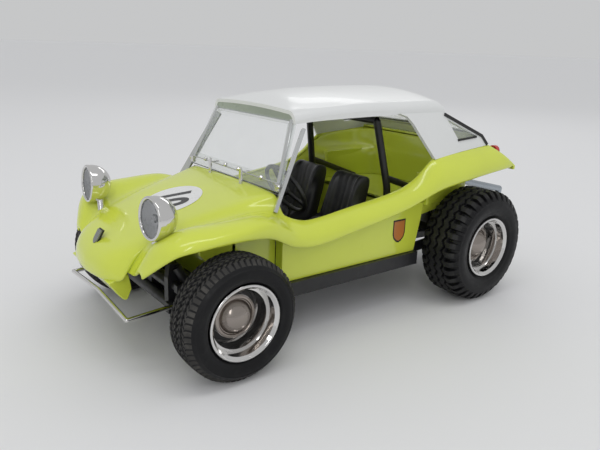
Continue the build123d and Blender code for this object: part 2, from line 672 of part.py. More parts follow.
def generator():
    """Generator on its stand with the belt and the two pulleys."""
    barrel = along(2.3, 6.4, (0, 14.3, 27.0))
    stand = block((-1.4, 12.7, 20.4), (1.4, 15.7, 25.6))
    top_pulley = along(2.4, 1.2, (0, 18.7, 27.0))
    shaft = along(0.6, 1.6, (0, 17.9, 27.0))
    low_pulley = along(3.4, 1.2, (0, 18.7, 16.0))
    crank = along(0.8, 0.8, (0, 18.1, 16.0))
    belt = block((-2.4, 18.4, 16.0), (2.4, 19.0, 27.0))
    return REAR_AXLE * (barrel + stand + top_pulley + shaft + low_pulley + crank + belt)


def air_cleaner():
    drum = Pos(6.6, 15.3, 27.0) * Cylinder(2.5, 3.0)
    neck = block((5.8, 14.5, 20.0), (7.4, 16.1, 26.0))
    return REAR_AXLE * (drum + neck)


def exhaust():
    """Header pipes from both heads into a cross silencer with an outlet pipe."""
    header = tube([(8.6, 16.9, 15.0), (8.6, 20.1, 11.4)], 0.8)
    can = across(2.1, 22.0, (0, 20.3, 10.2))
    outlet = rod((-6.0, 20.3, 9.4), (-6.0, 24.7, 9.0), 0.8)
    return REAR_AXLE * (can + both(header) + outlet)


def rear_guard():
    """Bright hoop behind the engine, from the rear wall round to the back."""
    side = [(18.4, 4.2, 32.1), (18.4, 24.9, 27.2), (16.9, 24.9, 14.0)]
    points = side + [(-x, y, z) for x, y, z in reversed(side)]
    return REAR_AXLE * tube(points, TUBE)


TAIL_LAMP = (20.6, 9.8, 40.5)  # x, y from the rear axle and z of the middle of the housing


def tail_lamp():
    """Round housing that stands out of the tail's slope, with a wider lens on its end."""
    x, y, z = TAIL_LAMP
    return REAR_AXLE * (along(1.2, 12.0, (x, y, z)) + along(1.6, 1.4, (x, y + 6.7, z)))


# Tread: x of each groove's middle from the rim's face, half of its width, its depth.
FRONT_TREAD = ((-2.5, -4.5, -6.5), 0.2, 0.35)
REAR_TREAD = ((-3.6, -6.0, -8.4), 0.3, 0.7)
SHOULDER_NOTCHES = 18  # gaps between the blocks on each shoulder of a rear tyre
BEAD_RADIUS = 7.9
SHOULDER_DROP = 1.2


def tyre(radius, width, tread):
    """Grooved tyre about the X axis, with the rim's face at x = 0 and the width towards -x."""
    grooves, half_gap, depth = tread
    middle = (RIM_RADIUS + radius - SHOULDER_DROP) / 2
    edges = [
        Line((-0.9, BEAD_RADIUS), (-0.9, RIM_RADIUS)),
        ThreePointArc((-0.9, RIM_RADIUS), (0.5, middle), (-0.3, radius - SHOULDER_DROP)),
        Line((-0.3, radius - SHOULDER_DROP), (-1.4, radius - 0.15)),
    ]
    corner = (-1.4, radius - 0.15)
    for x in grooves:
        edges += [
            Line(corner, (x + half_gap, radius)),
            Line((x + half_gap, radius), (x + half_gap, radius - depth)),
            Line((x + half_gap, radius - depth), (x - half_gap, radius - depth)),
            Line((x - half_gap, radius - depth), (x - half_gap, radius)),
        ]
        corner = (x - half_gap, radius)
    edges += [
        Line(corner, (1.4 - width, radius - 0.15)),
        Line((1.4 - width, radius - 0.15), (0.3 - width, radius - SHOULDER_DROP)),
        ThreePointArc(
            (0.3 - width, radius - SHOULDER_DROP), (-0.5 - width, middle), (0.9 - width, RIM_RADIUS)
        ),
        Line((0.9 - width, RIM_RADIUS), (0.9 - width, BEAD_RADIUS)),
        Line((0.9 - width, BEAD_RADIUS), (-0.9, BEAD_RADIUS)),
    ]
    return revolve(make_face(edges), axis=Axis.X)


def notches(radius, width):
    """Cutters for the gaps between shoulder blocks, staggered from one shoulder to the other."""
    low_z, high_z = radius - SHOULDER_DROP - 0.5, radius + 1.0
    outer = block((-2.7, -0.7, low_z), (1.0, 0.7, high_z))
    inner = block((-width - 1.0, -0.7, low_z), (2.7 - width, 0.7, high_z))
    step = 360 / SHOULDER_NOTCHES
    cutters = [Rot(step * i, 0, 0) * outer for i in range(SHOULDER_NOTCHES)]
    return cutters + [Rot(step * (i + 0.5), 0, 0) * inner for i in range(SHOULDER_NOTCHES)]


def rim(width):
    outline = [
        (0, RIM_RADIUS), (0, 8.0), (-0.5, 7.5), (-2.6, 7.2), (-2.6, 6.7), (-5.6, 6.4), (-6.4, 6.0),
        (-6.4, 4.9), (-BOSS_INSET, 4.9), (-BOSS_INSET, BORE_RADIUS), (-HUB_INSET, BORE_RADIUS),
        (-HUB_INSET, 6.9), (-width + 0.4, 7.2), (-width, 7.6), (-width, RIM_RADIUS),
        (0.9 - width, RIM_RADIUS), (0.9 - width, BEAD_RADIUS), (-0.9, BEAD_RADIUS), (-0.9, RIM_RADIUS),
    ]
    return revolve(make_face(Polyline(*outline, close=True)), axis=Axis.X)


def hub_cap():
    outline = [
        Line((-BOSS_INSET, 0), (-BOSS_INSET, 4.2)),
        Line((-BOSS_INSET, 4.2), (-4.0, 4.2)),
        Line((-4.0, 4.2), (-4.0, 3.3)),
        ThreePointArc((-4.0, 3.3), (-3.0, 2.1), (-2.7, 0.4)),
        Line((-2.7, 0.4), (-2.7, 0)),
        Line((-2.7, 0), (-BOSS_INSET, 0)),
    ]
    return revolve(make_face(outline), axis=Axis.X)


def save_wheels():
    front = tyre(FRONT_RADIUS, FRONT_WIDTH, FRONT_TREAD)
    rear = tyre(REAR_RADIUS, REAR_WIDTH, REAR_TREAD) - notches(REAR_RADIUS, REAR_WIDTH)
    corners = [
        ("front", 0, FRONT_RADIUS, FRONT_WIDTH, front),
        ("rear", WHEELBASE, REAR_RADIUS, REAR_WIDTH, rear),
    ]
    for end, y, radius, width, rubber in corners:
        for kind, piece in [("tyre", rubber), ("rim", rim(width)), ("hub_cap", hub_cap())]:
            placed = Pos(RIM_FACE_X, y, radius) * piece
            save(placed, f"{kind}_{end}_left")
            save(mirrored(placed), f"{kind}_{end}_right")


def main():
    os.makedirs("parts", exist_ok=True)
    front = body_front()
    side = body_side()
    rear = body_rear()
    save(front, "body_front")
    save(side, "body_side_left")
    save(mirrored(side), "body_side_right")
    save(rear, "body_rear")
    pan = floor_pan() - rear
    save(pan, "floor_pan")
    save(seated(dashboard(), both(side)), "dashboard")
    frame = seated(windscreen_frame(), front)
    save(frame, "windscreen_frame")
    save(windscreen_glass(), "windscreen_glass")
    save(both(seated(windscreen_post(), front, side, frame)), "windscreen_posts")
    top = seated(hardtop(), both(side), rear, frame)
    save(top, "hardtop")
    save(seated(rear_glass(), rear, top), "rear_window")
    save(both(quarter_glass()), "quarter_windows")
    save(seated(roll_hoop(), pan, rear), "roll_hoop")
    save(seat(), "seat_left")
    save(mirrored(seat()), "seat_right")
    save(seated(steering_wheel(), dashboard(), front), "steering_wheel")
    save(seated(gear_lever(), pan), "gear_lever")
    lamp = seated(headlamp(), front)
    save(lamp, "headlamp_left")
    save(mirrored(lamp), "headlamp_right")
    save(both(lamp_lens()), "headlamp_lenses")
    beam = seated(front_beam(), pan)
    save(beam, "front_beam")
    save(seated(front_bumper(), beam), "front_bumper")
    spindle = seated(front_spindle(), beam)
    save(spindle, "front_spindle_left")
    save(mirrored(spindle), "front_spindle_right")
    save(seated(tie_rod(), both(spindle)), "tie_rod")
    save(both(seated(front_shock(), beam, spindle)), "front_shocks")
    save(torsion_tube(), "frame_fork")
    gearbox = seated(transaxle(), torsion_tube())
    save(gearbox, "transaxle")
    save(both(seated(rear_axle(), torsion_tube(), gearbox)), "rear_axle")
    save(engine_case(), "engine_case")
    save(both(cylinder_bank()), "cylinder_banks")
    save(fan_shroud(), "fan_shroud")
    save(seated(generator(), fan_shroud(), engine_case()), "generator")
    save(seated(air_cleaner(), cylinder_bank(), fan_shroud()), "air_cleaner")
    save(seated(exhaust(), both(cylinder_bank())), "exhaust")
    save(seated(rear_guard(), rear), "rear_guard")
    save(both(seated(tail_lamp(), rear)), "tail_lamps")
    save_wheels()


main()
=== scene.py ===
import json
import math

import bmesh
import bpy
from mathutils import Matrix, Vector

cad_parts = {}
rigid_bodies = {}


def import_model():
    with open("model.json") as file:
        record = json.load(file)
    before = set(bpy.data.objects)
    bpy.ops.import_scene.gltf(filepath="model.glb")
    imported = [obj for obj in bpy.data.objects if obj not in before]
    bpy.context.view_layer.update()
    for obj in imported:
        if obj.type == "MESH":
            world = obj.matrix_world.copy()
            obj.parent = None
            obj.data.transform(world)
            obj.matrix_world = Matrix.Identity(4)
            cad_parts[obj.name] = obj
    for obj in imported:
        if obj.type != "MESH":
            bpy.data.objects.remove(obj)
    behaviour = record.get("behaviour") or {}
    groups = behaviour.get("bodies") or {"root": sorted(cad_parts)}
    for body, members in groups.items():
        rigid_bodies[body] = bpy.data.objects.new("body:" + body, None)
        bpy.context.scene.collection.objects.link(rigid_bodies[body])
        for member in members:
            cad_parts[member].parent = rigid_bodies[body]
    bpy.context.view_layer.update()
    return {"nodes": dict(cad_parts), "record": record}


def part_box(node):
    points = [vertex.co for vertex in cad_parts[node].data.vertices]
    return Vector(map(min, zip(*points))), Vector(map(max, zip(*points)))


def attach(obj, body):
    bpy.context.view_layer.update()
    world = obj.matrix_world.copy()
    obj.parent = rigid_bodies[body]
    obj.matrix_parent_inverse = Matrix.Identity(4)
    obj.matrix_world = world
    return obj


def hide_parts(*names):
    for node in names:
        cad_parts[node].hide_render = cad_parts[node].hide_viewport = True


# Dune buggy, 1:25 scale model. Shapes are written in millimetres with Y from the front axle,
# the nose towards -Y and the driver's side at +X, and are shifted into the row frame by to_row.

MM = 0.001
IMAGE_WIDTH = 600

for old in list(bpy.data.objects):
    bpy.data.objects.remove(old)

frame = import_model()


def centre_of(node):
    low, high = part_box(node)
    return [(a + b) / 2 / MM for a, b in zip(low, high)]


FRONT_AXLE_Y = centre_of("rim_front_left")[1]
WHEELBASE = centre_of("rim_rear_left")[1] - FRONT_AXLE_Y
FRONT_RADIUS = centre_of("tyre_front_left")[2]
REAR_RADIUS = centre_of("tyre_rear_left")[2]
RIM_FACE_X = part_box("rim_front_left")[1][0] / MM
FRONT_WIDTH = 9.0
REAR_WIDTH = 12.0
RIM_RADIUS = 8.5
FLOOR_Z = 13.0
PANEL_X = 22.8
SKIN = 1.0
SILL_Z = 15.2
COWL_Y = 17.0
HOOD_END_Y = -11.5  # where the hood's straight run ends and the nose turns down
ARCH_Y = 65.0  # front of the rear wheel arch
REAR_WALL_Y = 86.0
LEDGE_END_Y = 95.3
EDGE_ANGLE = 32  # degrees; sharper edges of the CAD nodes stay crisp
SIDES = (("left", 1), ("right", -1))
WHEELS = [(end, side) for end in ("front", "rear") for side in ("left", "right")]


def to_row(p):
    return (p[0] * MM, (p[1] + FRONT_AXLE_Y) * MM, p[2] * MM)


# Materials


def node_tree(name):
    mat = bpy.data.materials.new(name)
    mat.use_nodes = True
    nodes = mat.node_tree.nodes
    return mat, nodes, mat.node_tree.links, nodes["Principled BSDF"]


def noise(nodes, links, scale, detail=4.0, rough=0.55):
    """Noise over the object's own coordinates, in metres."""
    where = nodes.new("ShaderNodeTexCoord")
    tex = nodes.new("ShaderNodeTexNoise")
    tex.inputs["Scale"].default_value = scale
    tex.inputs["Detail"].default_value = detail
    tex.inputs["Roughness"].default_value = rough
    links.new(where.outputs["Object"], tex.inputs["Vector"])
    return tex.outputs["Fac"]


def remap(nodes, links, source, low, high, out_low, out_high):
    ramp = nodes.new("ShaderNodeMapRange")
    ramp.inputs["From Min"].default_value = low
    ramp.inputs["From Max"].default_value = high
    ramp.inputs["To Min"].default_value = out_low
    ramp.inputs["To Max"].default_value = out_high
    links.new(source, ramp.inputs["Value"])
    return ramp.outputs["Result"]


def blend_colours(nodes, links, factor, first, second):
    mix = nodes.new("ShaderNodeMix")
    mix.data_type = "RGBA"
    for socket, value in ((mix.inputs[6], first), (mix.inputs[7], second)):
        if isinstance(value, tuple):
            socket.default_value = (*value, 1)
        else:
            links.new(value, socket)
    links.new(factor, mix.inputs[0])
    return mix.outputs[2]


def bump(nodes, links, height, strength, distance_mm):
    node = nodes.new("ShaderNodeBump")
    node.inputs["Strength"].default_value = strength
    node.inputs["Distance"].default_value = distance_mm * MM
    links.new(height, node.inputs["Height"])
    return node.outputs["Normal"]


def plain(name, colour, rough, metal=0.0, spread=0.05, grain=450.0, bump_mm=0.01, coat=0.0, tint=0.1,
          worn=None, shine=0.5):
    """A finish with slightly uneven colour and roughness, a fine grain and, if given, scuffs."""
    mat, nodes, links, shader = node_tree(name)
    slow = noise(nodes, links, 60.0)
    fine = noise(nodes, links, grain, 5.0)
    darker = tuple(c * (1 - tint) for c in colour)
    mixed = blend_colours(nodes, links, remap(nodes, links, slow, 0.35, 0.65, 0, 1), colour, darker)
    if worn:
        scuff = remap(nodes, links, noise(nodes, links, 260.0, 8.0, 0.7), 0.52, 0.68, 0, 0.8)
        mixed = blend_colours(nodes, links, scuff, mixed, worn)
    links.new(mixed, shader.inputs["Base Color"])
    uneven = remap(nodes, links, fine, 0.3, 0.7, max(rough - spread, 0.02), rough + spread)
    links.new(uneven, shader.inputs["Roughness"])
    if bump_mm:
        links.new(bump(nodes, links, fine, 0.25, bump_mm), shader.inputs["Normal"])
    shader.inputs["Metallic"].default_value = metal
    shader.inputs["Specular IOR Level"].default_value = shine
    shader.inputs["Coat Weight"].default_value = coat
    shader.inputs["Coat Roughness"].default_value = 0.05
    return mat


def see_through(name, colour, alpha, rough):
    """Clear moulded plastic with a faint haze."""
    mat, nodes, links, shader = node_tree(name)
    haze = noise(nodes, links, 120.0)
    shader.inputs["Base Color"].default_value = (*colour, 1)
    links.new(remap(nodes, links, haze, 0.3, 0.7, rough * 0.6, rough * 1.6), shader.inputs["Roughness"])
    links.new(remap(nodes, links, haze, 0.3, 0.7, alpha * 0.85, alpha * 1.15), shader.inputs["Alpha"])
    shader.inputs["IOR"].default_value = 1.5
    return mat


def fluted_lens():
    """Clear lamp glass with moulded rings."""
    mat = see_through("lens_plastic", (0.66, 0.70, 0.70), 0.13, 0.03)
    nodes, links = mat.node_tree.nodes, mat.node_tree.links
    where = nodes.new("ShaderNodeTexCoord")
    shift = nodes.new("ShaderNodeMapping")
    shift.inputs["Location"].default_value = (-0.5, -0.5, -0.5)
    wave = nodes.new("ShaderNodeTexWave")
    wave.wave_type = "RINGS"
    wave.rings_direction = "Y"
    wave.inputs["Scale"].default_value = 4.0
    links.new(where.outputs["Generated"], shift.inputs["Vector"])
    links.new(shift.outputs["Vector"], wave.inputs["Vector"])
    shader = nodes["Principled BSDF"]
    links.new(bump(nodes, links, wave.outputs["Fac"], 0.6, 0.15), shader.inputs["Normal"])
    return mat


lime = plain("lime_body", (0.66, 0.745, 0.07), 0.20, coat=0.6, spread=0.03, grain=260, bump_mm=0.006,
             tint=0.04)
white = plain("white_roof", (0.76, 0.77, 0.76), 0.32, coat=0.15, spread=0.03, grain=300, bump_mm=0.0,
              tint=0.02)
black = plain("black_plastic", (0.014, 0.014, 0.016), 0.38, spread=0.1, bump_mm=0.02, tint=0.3,
              worn=(0.03, 0.03, 0.03))
chrome = plain("chrome_plate", (0.74, 0.73, 0.72), 0.09, metal=1.0, spread=0.04, bump_mm=0.0, tint=0.08)
hub_metal = plain("hub_metal", (0.36, 0.32, 0.29), 0.22, metal=1.0, spread=0.06, tint=0.15)
silver = plain("silver_paint", (0.60, 0.61, 0.61), 0.22, metal=0.6, spread=0.06, tint=0.1)
steel = plain("guard_steel", (0.42, 0.46, 0.50), 0.22, metal=0.9, spread=0.06, tint=0.12)
rubber = plain("tyre_rubber", (0.008, 0.008, 0.009), 0.40, spread=0.1, grain=1200, bump_mm=0.02, tint=0.3,
               worn=(0.014, 0.014, 0.014), shine=0.22)
# Tread tops of the front and rear tyres, paler than the black rubber left in the grooves: painted shade in
# the grooves, and wear on the tops.
tread = plain("tyre_tread", (0.050, 0.048, 0.045), 0.75, spread=0.1, grain=1500, bump_mm=0.04, tint=0.4,
              worn=(0.095, 0.090, 0.082), shine=0.2)
chunky = plain("chunky_tread", (0.018, 0.018, 0.018), 0.55, spread=0.1, grain=1500, bump_mm=0.03, tint=0.3,
               worn=(0.04, 0.04, 0.038), shine=0.25)
# Black of the rubber gaskets; the same black is also painted shade in the wheels' hub gaps and painted
# shadow along the screen's foot.
gasket = plain("gasket_rubber_and_painted_shade", (0.012, 0.012, 0.012), 0.4, spread=0.08, bump_mm=0.0)
engine = plain("engine_alloy", (0.34, 0.34, 0.33), 0.42, metal=0.8, spread=0.1, tint=0.25,
               worn=(0.12, 0.11, 0.10))
red = plain("red_lamp", (0.55, 0.015, 0.012), 0.12, coat=0.6, spread=0.03, bump_mm=0.0)
orange = plain("orange_badge", (0.50, 0.17, 0.03), 0.3, coat=0.3, tint=0.25)
grey = plain("grey_emblem", (0.34, 0.35, 0.33), 0.3, metal=0.6, tint=0.3)
ink = plain("number_ink", (0.012, 0.012, 0.013), 0.3, coat=0.2, bump_mm=0.0)
paper_white = plain("roundel_white", (0.80, 0.80, 0.79), 0.3, coat=0.3, bump_mm=0.0, tint=0.02)
frosted = plain("frosted_header", (0.36, 0.41, 0.33), 0.3, coat=0.3, tint=0.2)
clear = see_through("clear_plastic", (0.80, 0.84, 0.85), 0.16, 0.05)
clear_band = see_through("clear_band", (0.74, 0.78, 0.78), 0.26, 0.08)
mirror = plain("reflector", (0.30, 0.30, 0.31), 0.10, metal=1.0, spread=0.04, bump_mm=0.0)
lens = fluted_lens()


# Mesh helpers


def ride(obj, body):
    bpy.context.scene.collection.objects.link(obj)
    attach(obj, body)
    return obj


def add_mesh(name, points, faces, mat, body="chassis", smooth=True):
    mesh = bpy.data.meshes.new(name)
    mesh.from_pydata([to_row(p) for p in points], [], faces)
    mesh.materials.append(mat)
    mesh.polygons.foreach_set("use_smooth", [smooth] * len(mesh.polygons))
    return ride(bpy.data.objects.new(name, mesh), body)


def fix_normals(obj):
    bm = bmesh.new()
    bm.from_mesh(obj.data)
    bmesh.ops.remove_doubles(bm, verts=bm.verts, dist=1e-6)
    bmesh.ops.recalc_face_normals(bm, faces=bm.faces)
    bm.to_mesh(obj.data)
    bm.free()


def bevel(obj, width_mm, segments=2, angle=35):
    mod = obj.modifiers.new("bevel", "BEVEL")
    mod.width = width_mm * MM
    mod.segments = segments
    mod.limit_method = "ANGLE"
    mod.angle_limit = math.radians(angle)
    mod.harden_normals = True
    return obj


def subdivide(obj, levels):
    mod = obj.modifiers.new("subdivision", "SUBSURF")
    mod.levels = levels
    mod.render_levels = levels
    return obj


def thicken(obj, thickness_mm, offset=-1.0):
    mod = obj.modifiers.new("wall", "SOLIDIFY")
    mod.thickness = thickness_mm * MM
    mod.offset = offset
    mod.use_even_offset = True
    return obj


def lathe(profile, count):
    """Points and faces of a profile of (x, radius) turned about the X axis."""
    points, faces = [], []
    n = len(profile)
    for i in range(count):
        a = 2 * math.pi * i / count
        points += [(x, r * math.sin(a), r * math.cos(a)) for x, r in profile]
    for i in range(count):
        j = (i + 1) % count
        for k in range(n - 1):
            faces.append((i * n + k, i * n + k + 1, j * n + k + 1, j * n + k))
    return points, faces


def turned(name, profile, count, centre, axis, mat, body="chassis", smooth=True):
    """A profile of (along, radius) turned about an axis through a point."""
    n = Vector(axis).normalized()
    u = (Vector((0, 0, 1)) if abs(n.z) < 0.9 else Vector((0, 1, 0))).cross(n).normalized()
    v = n.cross(u)
    points, faces = lathe(profile, count)
    placed = [Vector(centre) + n * a + u * b + v * c for a, b, c in points]
    obj = add_mesh(name, placed, faces, mat, body, smooth)
    fix_normals(obj)
    if smooth:
        obj.data.set_sharp_from_angle(angle=math.radians(35))
    return obj


def plate(name, origin, u, v, outline, thickness, mat, edge=0.0, body="chassis"):
    """A flat outline in the plane of u and v, raised along their cross product."""
    u, v = Vector(u).normalized(), Vector(v).normalized()
    low = [Vector(origin) + u * a + v * b for a, b in outline]
    points = low + [p + u.cross(v) * thickness for p in low]
    count = len(outline)
    faces = [tuple(range(count)), tuple(range(2 * count - 1, count - 1, -1))]
    faces += [(i, (i + 1) % count, count + (i + 1) % count, count + i) for i in range(count)]
    obj = add_mesh(name, points, faces, mat, body, bool(edge))
    fix_normals(obj)
    return bevel(obj, edge) if edge else obj


def prism(name, outline, low_x, high_x, mat, edge=0.15):
    """A side-view outline of (y, z), extruded from one x to another."""
    return plate(name, (low_x, 0, 0), (0, 1, 0), (0, 0, 1), outline, high_x - low_x, mat, edge)


def box_piece(name, low, high, mat, edge=0.15):
    outline = [(low[1], low[2]), (high[1], low[2]), (high[1], high[2]), (low[1], high[2])]
    return prism(name, outline, low[0], high[0], mat, edge)


def wire(name, points, radius, mat, closed=False):
    """A thin round bead along points."""
    curve = bpy.data.curves.new(name, "CURVE")
    curve.dimensions = "3D"
    curve.bevel_depth = radius * MM
    curve.bevel_resolution = 3
    curve.use_fill_caps = True
    spline = curve.splines.new("POLY")
    spline.points.add(len(points) - 1)
    for spot, p in zip(spline.points, points):
        spot.co = (*to_row(p), 1)
    spline.use_cyclic_u = closed
    curve.materials.append(mat)
    return ride(bpy.data.objects.new(name, curve), "chassis")


def ribbon(name, points, outward, width, height, mat):
    """A flat strip along points in a plane, with mitred corners, raised along outward."""
    outward = Vector(outward).normalized()
    spots = [Vector(p) for p in points]
    left, right = [], []
    for i, p in enumerate(spots):
        before = (p - spots[i - 1]).normalized() if i else (spots[1] - p).normalized()
        after = (spots[i + 1] - p).normalized() if i < len(spots) - 1 else before
        side = (before + after).cross(outward).normalized()
        reach = width / 2 / max(side.dot(before.cross(outward).normalized()), 0.4)
        left.append(p + side * reach)
        right.append(p - side * reach)
    rows = [left, right, [p + outward * height for p in right], [p + outward * height for p in left]]
    n = len(spots)
    points = [p for row in rows for p in row]
    faces = [(r * n + i, r * n + i + 1, (r + 1) % 4 * n + i + 1, (r + 1) % 4 * n + i)
             for r in range(4) for i in range(n - 1)]
    faces += [tuple(r * n for r in range(4)), tuple(r * n + n - 1 for r in range(4))]
    obj = add_mesh(name, points, faces, mat)
    fix_normals(obj)
    return bevel(obj, min(width, height) * 0.3)


def arc(start, middle, end, count):
    """Points along the circle through three points, in the plane."""
    (ax, ay), (bx, by), (cx, cy) = start, middle, end
    d = 2 * (ax * (by - cy) + bx * (cy - ay) + cx * (ay - by))
    if abs(d) < 1e-9:
        return [(ax + (cx - ax) * i / count, ay + (cy - ay) * i / count) for i in range(count + 1)]
    sa, sb, sc = ax * ax + ay * ay, bx * bx + by * by, cx * cx + cy * cy
    ux = (sa * (by - cy) + sb * (cy - ay) + sc * (ay - by)) / d
    uy = (sa * (cx - bx) + sb * (ax - cx) + sc * (bx - ax)) / d
    r = math.hypot(ax - ux, ay - uy)
    first = math.atan2(ay - uy, ax - ux)
    mid = (math.atan2(by - uy, bx - ux) - first) % (2 * math.pi)
    last = (math.atan2(cy - uy, cx - ux) - first) % (2 * math.pi)
    if mid > last:
        last -= 2 * math.pi
    return [(ux + r * math.cos(first + last * i / count), uy + r * math.sin(first + last * i / count))
            for i in range(count + 1)]


def spaced(start, end, count):
    """Evenly spaced values, both ends included."""
    return [start + (end - start) * i / (count - 1) for i in range(count)]


def resampled(table, ys):
    """Rows of a table at the given Y values, curving smoothly and without overshoot."""
    last = len(table) - 1
    way = 1 if table[last][0] > table[0][0] else -1
    slopes = [[(b - a) / (high[0] - low[0]) for a, b in zip(low, high)]
              for low, high in zip(table, table[1:])]
    rows = []
    for y in ys:
        k = 0
        while k < last - 1 and (y - table[k + 1][0]) * way > 0:
            k += 1
        span = table[k + 1][0] - table[k][0]
        t = (y - table[k][0]) / span
        row = []
        for c, (a, b) in enumerate(zip(table[k], table[k + 1])):
            here = slopes[k][c]
            before, after = slopes[max(k - 1, 0)][c], slopes[min(k + 1, last - 1)][c]
            start = 2 * before * here / (before + here) if before * here > 0 else 0
            end = 2 * after * here / (after + here) if after * here > 0 else 0
            start = here if k == 0 else start
            end = here if k == last - 1 else end
            value = a * (2 * t**3 - 3 * t**2 + 1) + b * (3 * t**2 - 2 * t**3)
            row.append(value + span * (start * (t**3 - 2 * t**2 + t) + end * (t**3 - t**2)))
        rows.append(row)
    return rows


# Body shell, from the same stations as the CAD source.
# y, crown_z, hood_x, hood_z, valley_x, valley_z, crest_x, crest_z, lip_x, lip_top_z, lip_low_z
FRONT_STATIONS = [
    (COWL_Y, 37.2, 20.0, 36.7, 22.4, 33.4, 24.8, 31.2, 27.4, 28.6, 25.2),
    (8.5, 35.2, 17.8, 34.7, 21.0, 33.0, 25.2, 33.9, 29.2, 32.5, 29.3),
    (0.0, 32.9, 15.6, 32.7, 18.9, 31.6, 24.6, 33.5, 30.0, 31.8, 29.9),
    (-7.0, 30.7, 14.0, 30.4, 16.9, 30.1, 23.4, 33.1, 29.9, 31.2, 29.6),
    (HOOD_END_Y, 29.0, 13.0, 28.8, 15.6, 28.7, 21.8, 31.5, 28.2, 30.1, 28.7),
    (-13.6, 27.5, 12.6, 27.3, 15.8, 26.6, 20.9, 30.0, 26.2, 28.5, 27.1),
    (-15.2, 25.6, 12.2, 25.3, 15.8, 24.2, 19.6, 27.2, 23.4, 26.2, 24.8),
    (-16.8, 23.4, 11.8, 23.1, 15.8, 22.0, 18.0, 23.3, 19.8, 23.0, 21.9),
]
# x, start_y, start_z, bend_y, bend_z, beak_y, beak_z
NOSE_STATIONS = [
    (0.0, HOOD_END_Y, 29.0, -18.0, 26.1, -21.9, 19.2),
    (8.0, HOOD_END_Y, 28.9, -17.2, 26.4, -21.0, 19.3),
    (12.0, HOOD_END_Y, 28.8, -15.6, 26.9, -19.6, 19.6),
    (14.8, HOOD_END_Y, 28.7, -13.4, 27.3, -18.1, 20.0),
]
# y, wall_x, wall_z, inner_x, inner_z, bulge_x, bulge_z, lip_x, lip_low_z
RAIL_STATIONS = [
    (COWL_Y, 22.8, 27.5, 23.0, 32.4, 26.4, 30.0, 27.4, 25.2),
    (22.5, 22.8, 27.5, 23.2, 30.2, 26.4, 28.4, 27.4, 24.4),
    (37.0, 22.8, 27.5, 23.4, 31.8, 26.8, 30.2, 27.6, 26.3),
    (ARCH_Y - 12.0, 22.8, 27.5, 23.8, 34.2, 27.3, 32.8, 28.2, 29.4),
    (ARCH_Y - 6.0, 22.8, 27.5, 24.2, 36.8, 27.5, 35.0, 28.5, 31.3),
    (ARCH_Y, 22.8, 27.5, 24.9, 42.0, 27.6, 39.1, 28.9, 33.3),
    (75.0, 24.0, 35.6, 24.8, 42.9, 27.6, 40.2, 29.2, 34.8),
    (88.0, 23.4, 35.6, 24.5, 43.9, 27.3, 41.4, 28.8, 36.0),
    (99.0, 23.0, 35.6, 24.3, 44.6, 27.0, 42.2, 28.0, 36.6),
]
TAIL_TOP = (88.0, 43.9)  # y, z of the edge where the deck turns down
TAIL_LOW = (98.6, 37.1)
HOOD_STEPS = 4
VALLEY_STEPS = 4
CREST_STEPS = 5
NOSE_STEPS = 5
HOOD_ROWS = 13


def front_row(row):
    """Outer line of one side from the centre of the hood to the lip's low edge."""
    y, crown_z, hood_x, hood_z, valley_x, valley_z, crest_x, crest_z, lip_x, lip_top, lip_low = row
    rise = ((valley_x + crest_x) / 2, (valley_z + crest_z) / 2)
    crown = arc((-hood_x, hood_z), (0, crown_z), (hood_x, hood_z), HOOD_STEPS * 2)[HOOD_STEPS:]
    valley = arc((hood_x, hood_z), (valley_x, valley_z), rise, VALLEY_STEPS)[1:]
    crest = arc(rise, (crest_x, crest_z), (lip_x, lip_top), CREST_STEPS)[1:]
    return [(x, y, z) for x, z in crown + valley + crest + [(lip_x, lip_low)]]


def rail_row(y):
    inner_x, inner_z, bulge_x, bulge_z, lip_x, lip_low = resampled(RAIL_STATIONS, [y])[0][3:]
    line = arc((inner_x, inner_z), (bulge_x, bulge_z), (lip_x, lip_low), CREST_STEPS + 1)
    return [(x, y, z) for x, z in line]


def tail_z(y):
    """Height of the sloping tail at y."""
    (top_y, top_z), (low_y, low_z) = TAIL_TOP, TAIL_LOW
    return top_z - (y - top_y) * (top_z - low_z) / (low_y - top_y)


def tail_end(column):
    """Point of one column of the fender where the tail's slope cuts it."""
    low, high = TAIL_TOP[0], TAIL_LOW[0]
    for _ in range(20):
        middle = (low + high) / 2
        if rail_row(middle)[column][2] < tail_z(middle):
            low = middle
        else:
            high = middle
    return rail_row(low)[column]


def nose_curve(row, steps):
    """Points from just after the start down to the beak: a straight run, then a tangent arc."""
    x, start_y, start_z, bend_y, bend_z, beak_y, beak_z = row
    slope = math.atan2(bend_z - start_z, bend_y - start_y)
    chord = math.atan2(beak_z - bend_z, beak_y - bend_y)
    turn = (chord - slope + math.pi) % (2 * math.pi) - math.pi
    length = math.hypot(beak_y - bend_y, beak_z - bend_z)
    radius = length / (2 * math.sin(turn))
    points = []
    for i in range(1, steps + 1):
        a = 2 * turn * i / steps
        dy = radius * (math.sin(slope + a) - math.sin(slope))
        dz = -radius * (math.cos(slope + a) - math.cos(slope))
        points.append((x, bend_y + dy, bend_z + dz))
    return [(x, bend_y, bend_z)] + points


def front_rows():
    """Rows of the front from the cowl to the nose, with the nose's own curve in the middle."""
    main_ys = spaced(COWL_Y, HOOD_END_Y, HOOD_ROWS)
    front_ys = spaced(HOOD_END_Y, FRONT_STATIONS[-1][0], NOSE_STEPS + 2)[1:]
    rows = [front_row(r) for r in resampled(FRONT_STATIONS, main_ys)]
    noses = []
    for i in range(HOOD_STEPS + 1):
        share = rows[-1][i][0] / rows[-1][HOOD_STEPS][0]
        row = resampled(NOSE_STATIONS, [share * NOSE_STATIONS[-1][0]])[0]
        row[2] = rows[-1][i][2]
        noses.append(nose_curve(row, NOSE_STEPS))
    for k, front in enumerate(resampled(FRONT_STATIONS, front_ys)):
        line = front_row(front)
        rows.append([nose[k] for nose in noses] + line[HOOD_STEPS + 1:])
    return rows


